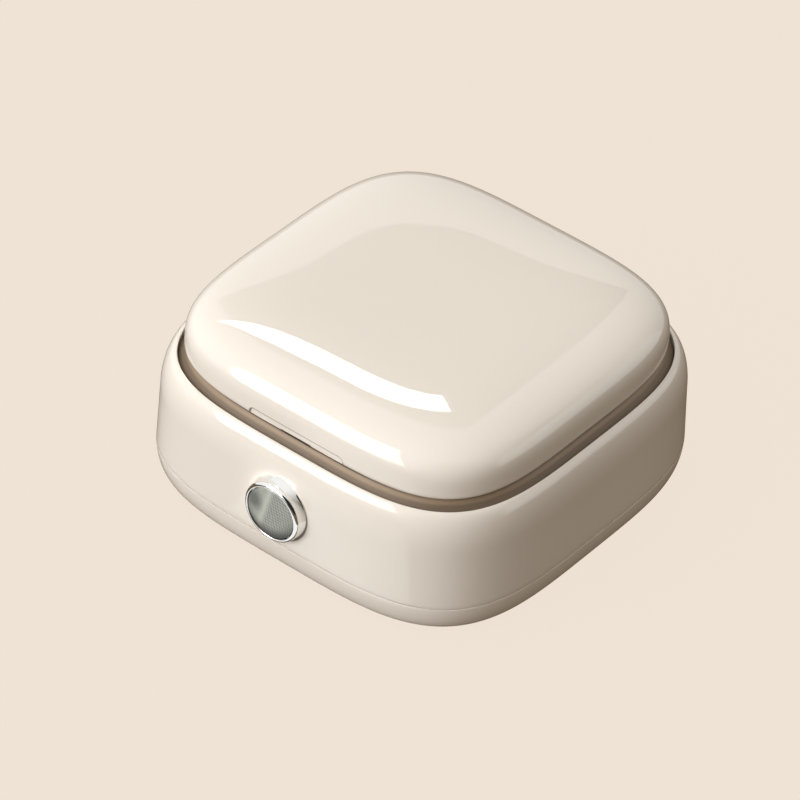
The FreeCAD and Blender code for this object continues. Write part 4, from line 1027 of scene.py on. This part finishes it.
def make_camera():
    """Long lens, looking down at the front left corner, rolled a little and aimed just below the middle."""
    back = Vector((math.sin(LOOK_TURN) * math.cos(LOOK_RISE), -math.cos(LOOK_TURN) * math.cos(LOOK_RISE),
                   math.sin(LOOK_RISE)))
    side = Vector((0, 0, 1)).cross(back).normalized()
    up = back.cross(side)
    rolled_side = math.cos(LOOK_ROLL) * side + math.sin(LOOK_ROLL) * up
    rolled_up = -math.sin(LOOK_ROLL) * side + math.cos(LOOK_ROLL) * up
    ahead = (-back + rolled_side * AIM_SIDE / FOCAL - rolled_up * AIM_DOWN / FOCAL).normalized()
    final_side = ahead.cross(rolled_up).normalized()
    final_up = final_side.cross(ahead)
    data = bpy.data.cameras.new("camera")
    data.sensor_width = 36.0
    data.lens = FOCAL / PICTURE * data.sensor_width
    data.clip_end = 20.0
    camera = bpy.data.objects.new("camera", data)
    turn = Matrix((final_side, final_up, -ahead)).transposed().to_4x4()
    camera.matrix_world = Matrix.Translation((LOOK_AT + back * LOOK_AWAY) * MM) @ turn
    bpy.context.scene.collection.objects.link(camera)
    bpy.context.scene.camera = camera


make_camera()

# ---------------------------------------------------------------- light and floor


def toward(turn, rise):
    """Unit vector for a turn from straight ahead (-Y) towards +X and a rise, in degrees."""
    a, b = math.radians(turn), math.radians(rise)
    return Vector((math.sin(a) * math.cos(b), -math.cos(a) * math.cos(b), math.sin(b)))


def around(aim, away, corners):
    """Points at a distance in metres from an aim point, each in the direction of its (turn, rise)."""
    return [Vector(aim) + toward(turn, rise) * away / MM for turn, rise in corners]


def card(name, points, radiance, seen, colour=(1.0, 1.0, 1.0)):
    """A glowing card with four corners or more, seen by matt surfaces only or by glossy ones only."""
    thing = new_piece(name, [tuple(point) for point in points], [tuple(range(len(points)))])
    made = bare_material(name + "_glow")
    n = Nodes(made.node_tree)
    glow = n.add("ShaderNodeEmission", {"Color": (*colour, 1.0), "Strength": radiance})
    n.add("ShaderNodeOutputMaterial", {"Surface": glow.outputs[0]})
    paint(thing, made)
    thing.visible_camera = False
    thing.visible_diffuse = seen == "matt"
    thing.visible_glossy = seen == "gloss"
    thing.visible_shadow = False


LID_FRONT = (0.0, CENTRE_Y - 38.0, 55.0)
SHOULDERS = (0.0, CENTRE_Y - 55.0, 44.0)
LID_MIDDLE = (0.0, CENTRE_Y, 56.0)
RIGHT_SHOULDERS = (55.0, CENTRE_Y, 46.0)
FLOOR_GAP = 0.02
FLOOR_HALF = 6000.0
PALE_FLOOR = srgb(239, 227, 213)
DIM_FLOOR = srgb(108, 92, 74)

card("front_left_box", around(SHOULDERS, 0.9, [(-37, -1.5), (-53, 46), (-29, 66), (2, 17)]), 6.5, "gloss")
card("front_fill", around(SHOULDERS, 1.5, [(-39, 4), (-39, 34), (-3, 34), (-3, 4)]), 6.2, "matt",
     (0.975, 1.0, 1.035))
card("back_left_strip", around(LID_FRONT, 2.0, [(-111, 40), (-129, 50.2), (-147, 49.6), (-145, 45)]), 9.0,
     "gloss")
card("back_wall", around(LID_MIDDLE, 20.0, [(-70, -1), (-70, 75), (-215, 75), (-215, -1)]), 1.0, "gloss")
card("ceiling_flag", around(LID_MIDDLE, 3.0, [(-143, 35), (-160, 27), (-154, 58), (-121, 52), (-119, 28)]),
     0.1, "gloss")
card("right_strip", around(RIGHT_SHOULDERS, 2.0, [(98, 1), (104, 32), (160, 34), (164, 1)]), 1.8, "gloss")
card("front_right_flag", around(SHOULDERS, 1.3, [(10, 1), (13, 54), (50, 66), (92, 48), (92, 1)]), 0.02,
     "gloss")
card("floor_patch", [(x, y, FLOOR_GAP) for x, y in ((-26, -72), (-45, -140), (45, -140), (45, -63))], 1.0,
     "gloss")

BRIGHT_SIDE = (-0.48, -0.32, 0.82)
BRIGHT_AIR = (1.17, 1.15, 1.12, 1.0)
DIM_AIR = (0.20, 0.160, 0.118, 1.0)
AIR_STRENGTH = 0.87


def make_world():
    """Studio round the cleaner: bright above and to the left, dim and brownish low on the right."""
    world = bpy.data.worlds.new("studio")
    world.use_nodes = True
    n = Nodes(world.node_tree)
    shade = world.node_tree.nodes["Background"]
    way = n.add("ShaderNodeTexCoord").outputs["Generated"]
    facing = n.add("ShaderNodeVectorMath", {0: way, 1: BRIGHT_SIDE}, operation="DOT_PRODUCT").outputs["Value"]
    share = n.add("ShaderNodeMapRange", {"Value": facing, "From Min": -0.3, "From Max": 0.8},
                  interpolation_type="SMOOTHSTEP").outputs[0]
    colour = n.add("ShaderNodeMix", {0: share, 6: DIM_AIR, 7: BRIGHT_AIR}, data_type="RGBA").outputs[2]
    n.feed(shade, {"Color": colour, "Strength": AIR_STRENGTH})
    bpy.context.scene.world = world


def make_floor():
    """Pale sweep under the cleaner: even and warm to the camera, dimmer to the cleaner itself."""
    points = [(x * FLOOR_HALF, y * FLOOR_HALF, -FLOOR_GAP) for x, y in ((-1, -1), (1, -1), (1, 1), (-1, 1))]
    floor = new_piece("floor", points, [(0, 1, 2, 3)])
    made = bare_material("pale_floor")
    n = Nodes(made.node_tree)
    seen = n.add("ShaderNodeLightPath").outputs["Is Camera Ray"]
    glow = n.add("ShaderNodeEmission", {"Color": PALE_FLOOR, "Strength": 1.0})
    matt = n.add("ShaderNodeBsdfDiffuse", {"Color": PALE_FLOOR})
    pale = n.add("ShaderNodeMixShader", {0: 0.03, 1: glow.outputs[0], 2: matt.outputs[0]})
    dim = n.add("ShaderNodeEmission", {"Color": DIM_FLOOR, "Strength": 1.0})
    both = n.add("ShaderNodeMixShader", {0: seen, 1: dim.outputs[0], 2: pale.outputs[0]})
    n.add("ShaderNodeOutputMaterial", {"Surface": both.outputs[0]})
    paint(floor, made)


make_world()
make_floor()
bpy.context.scene.view_settings.view_transform = "Standard"
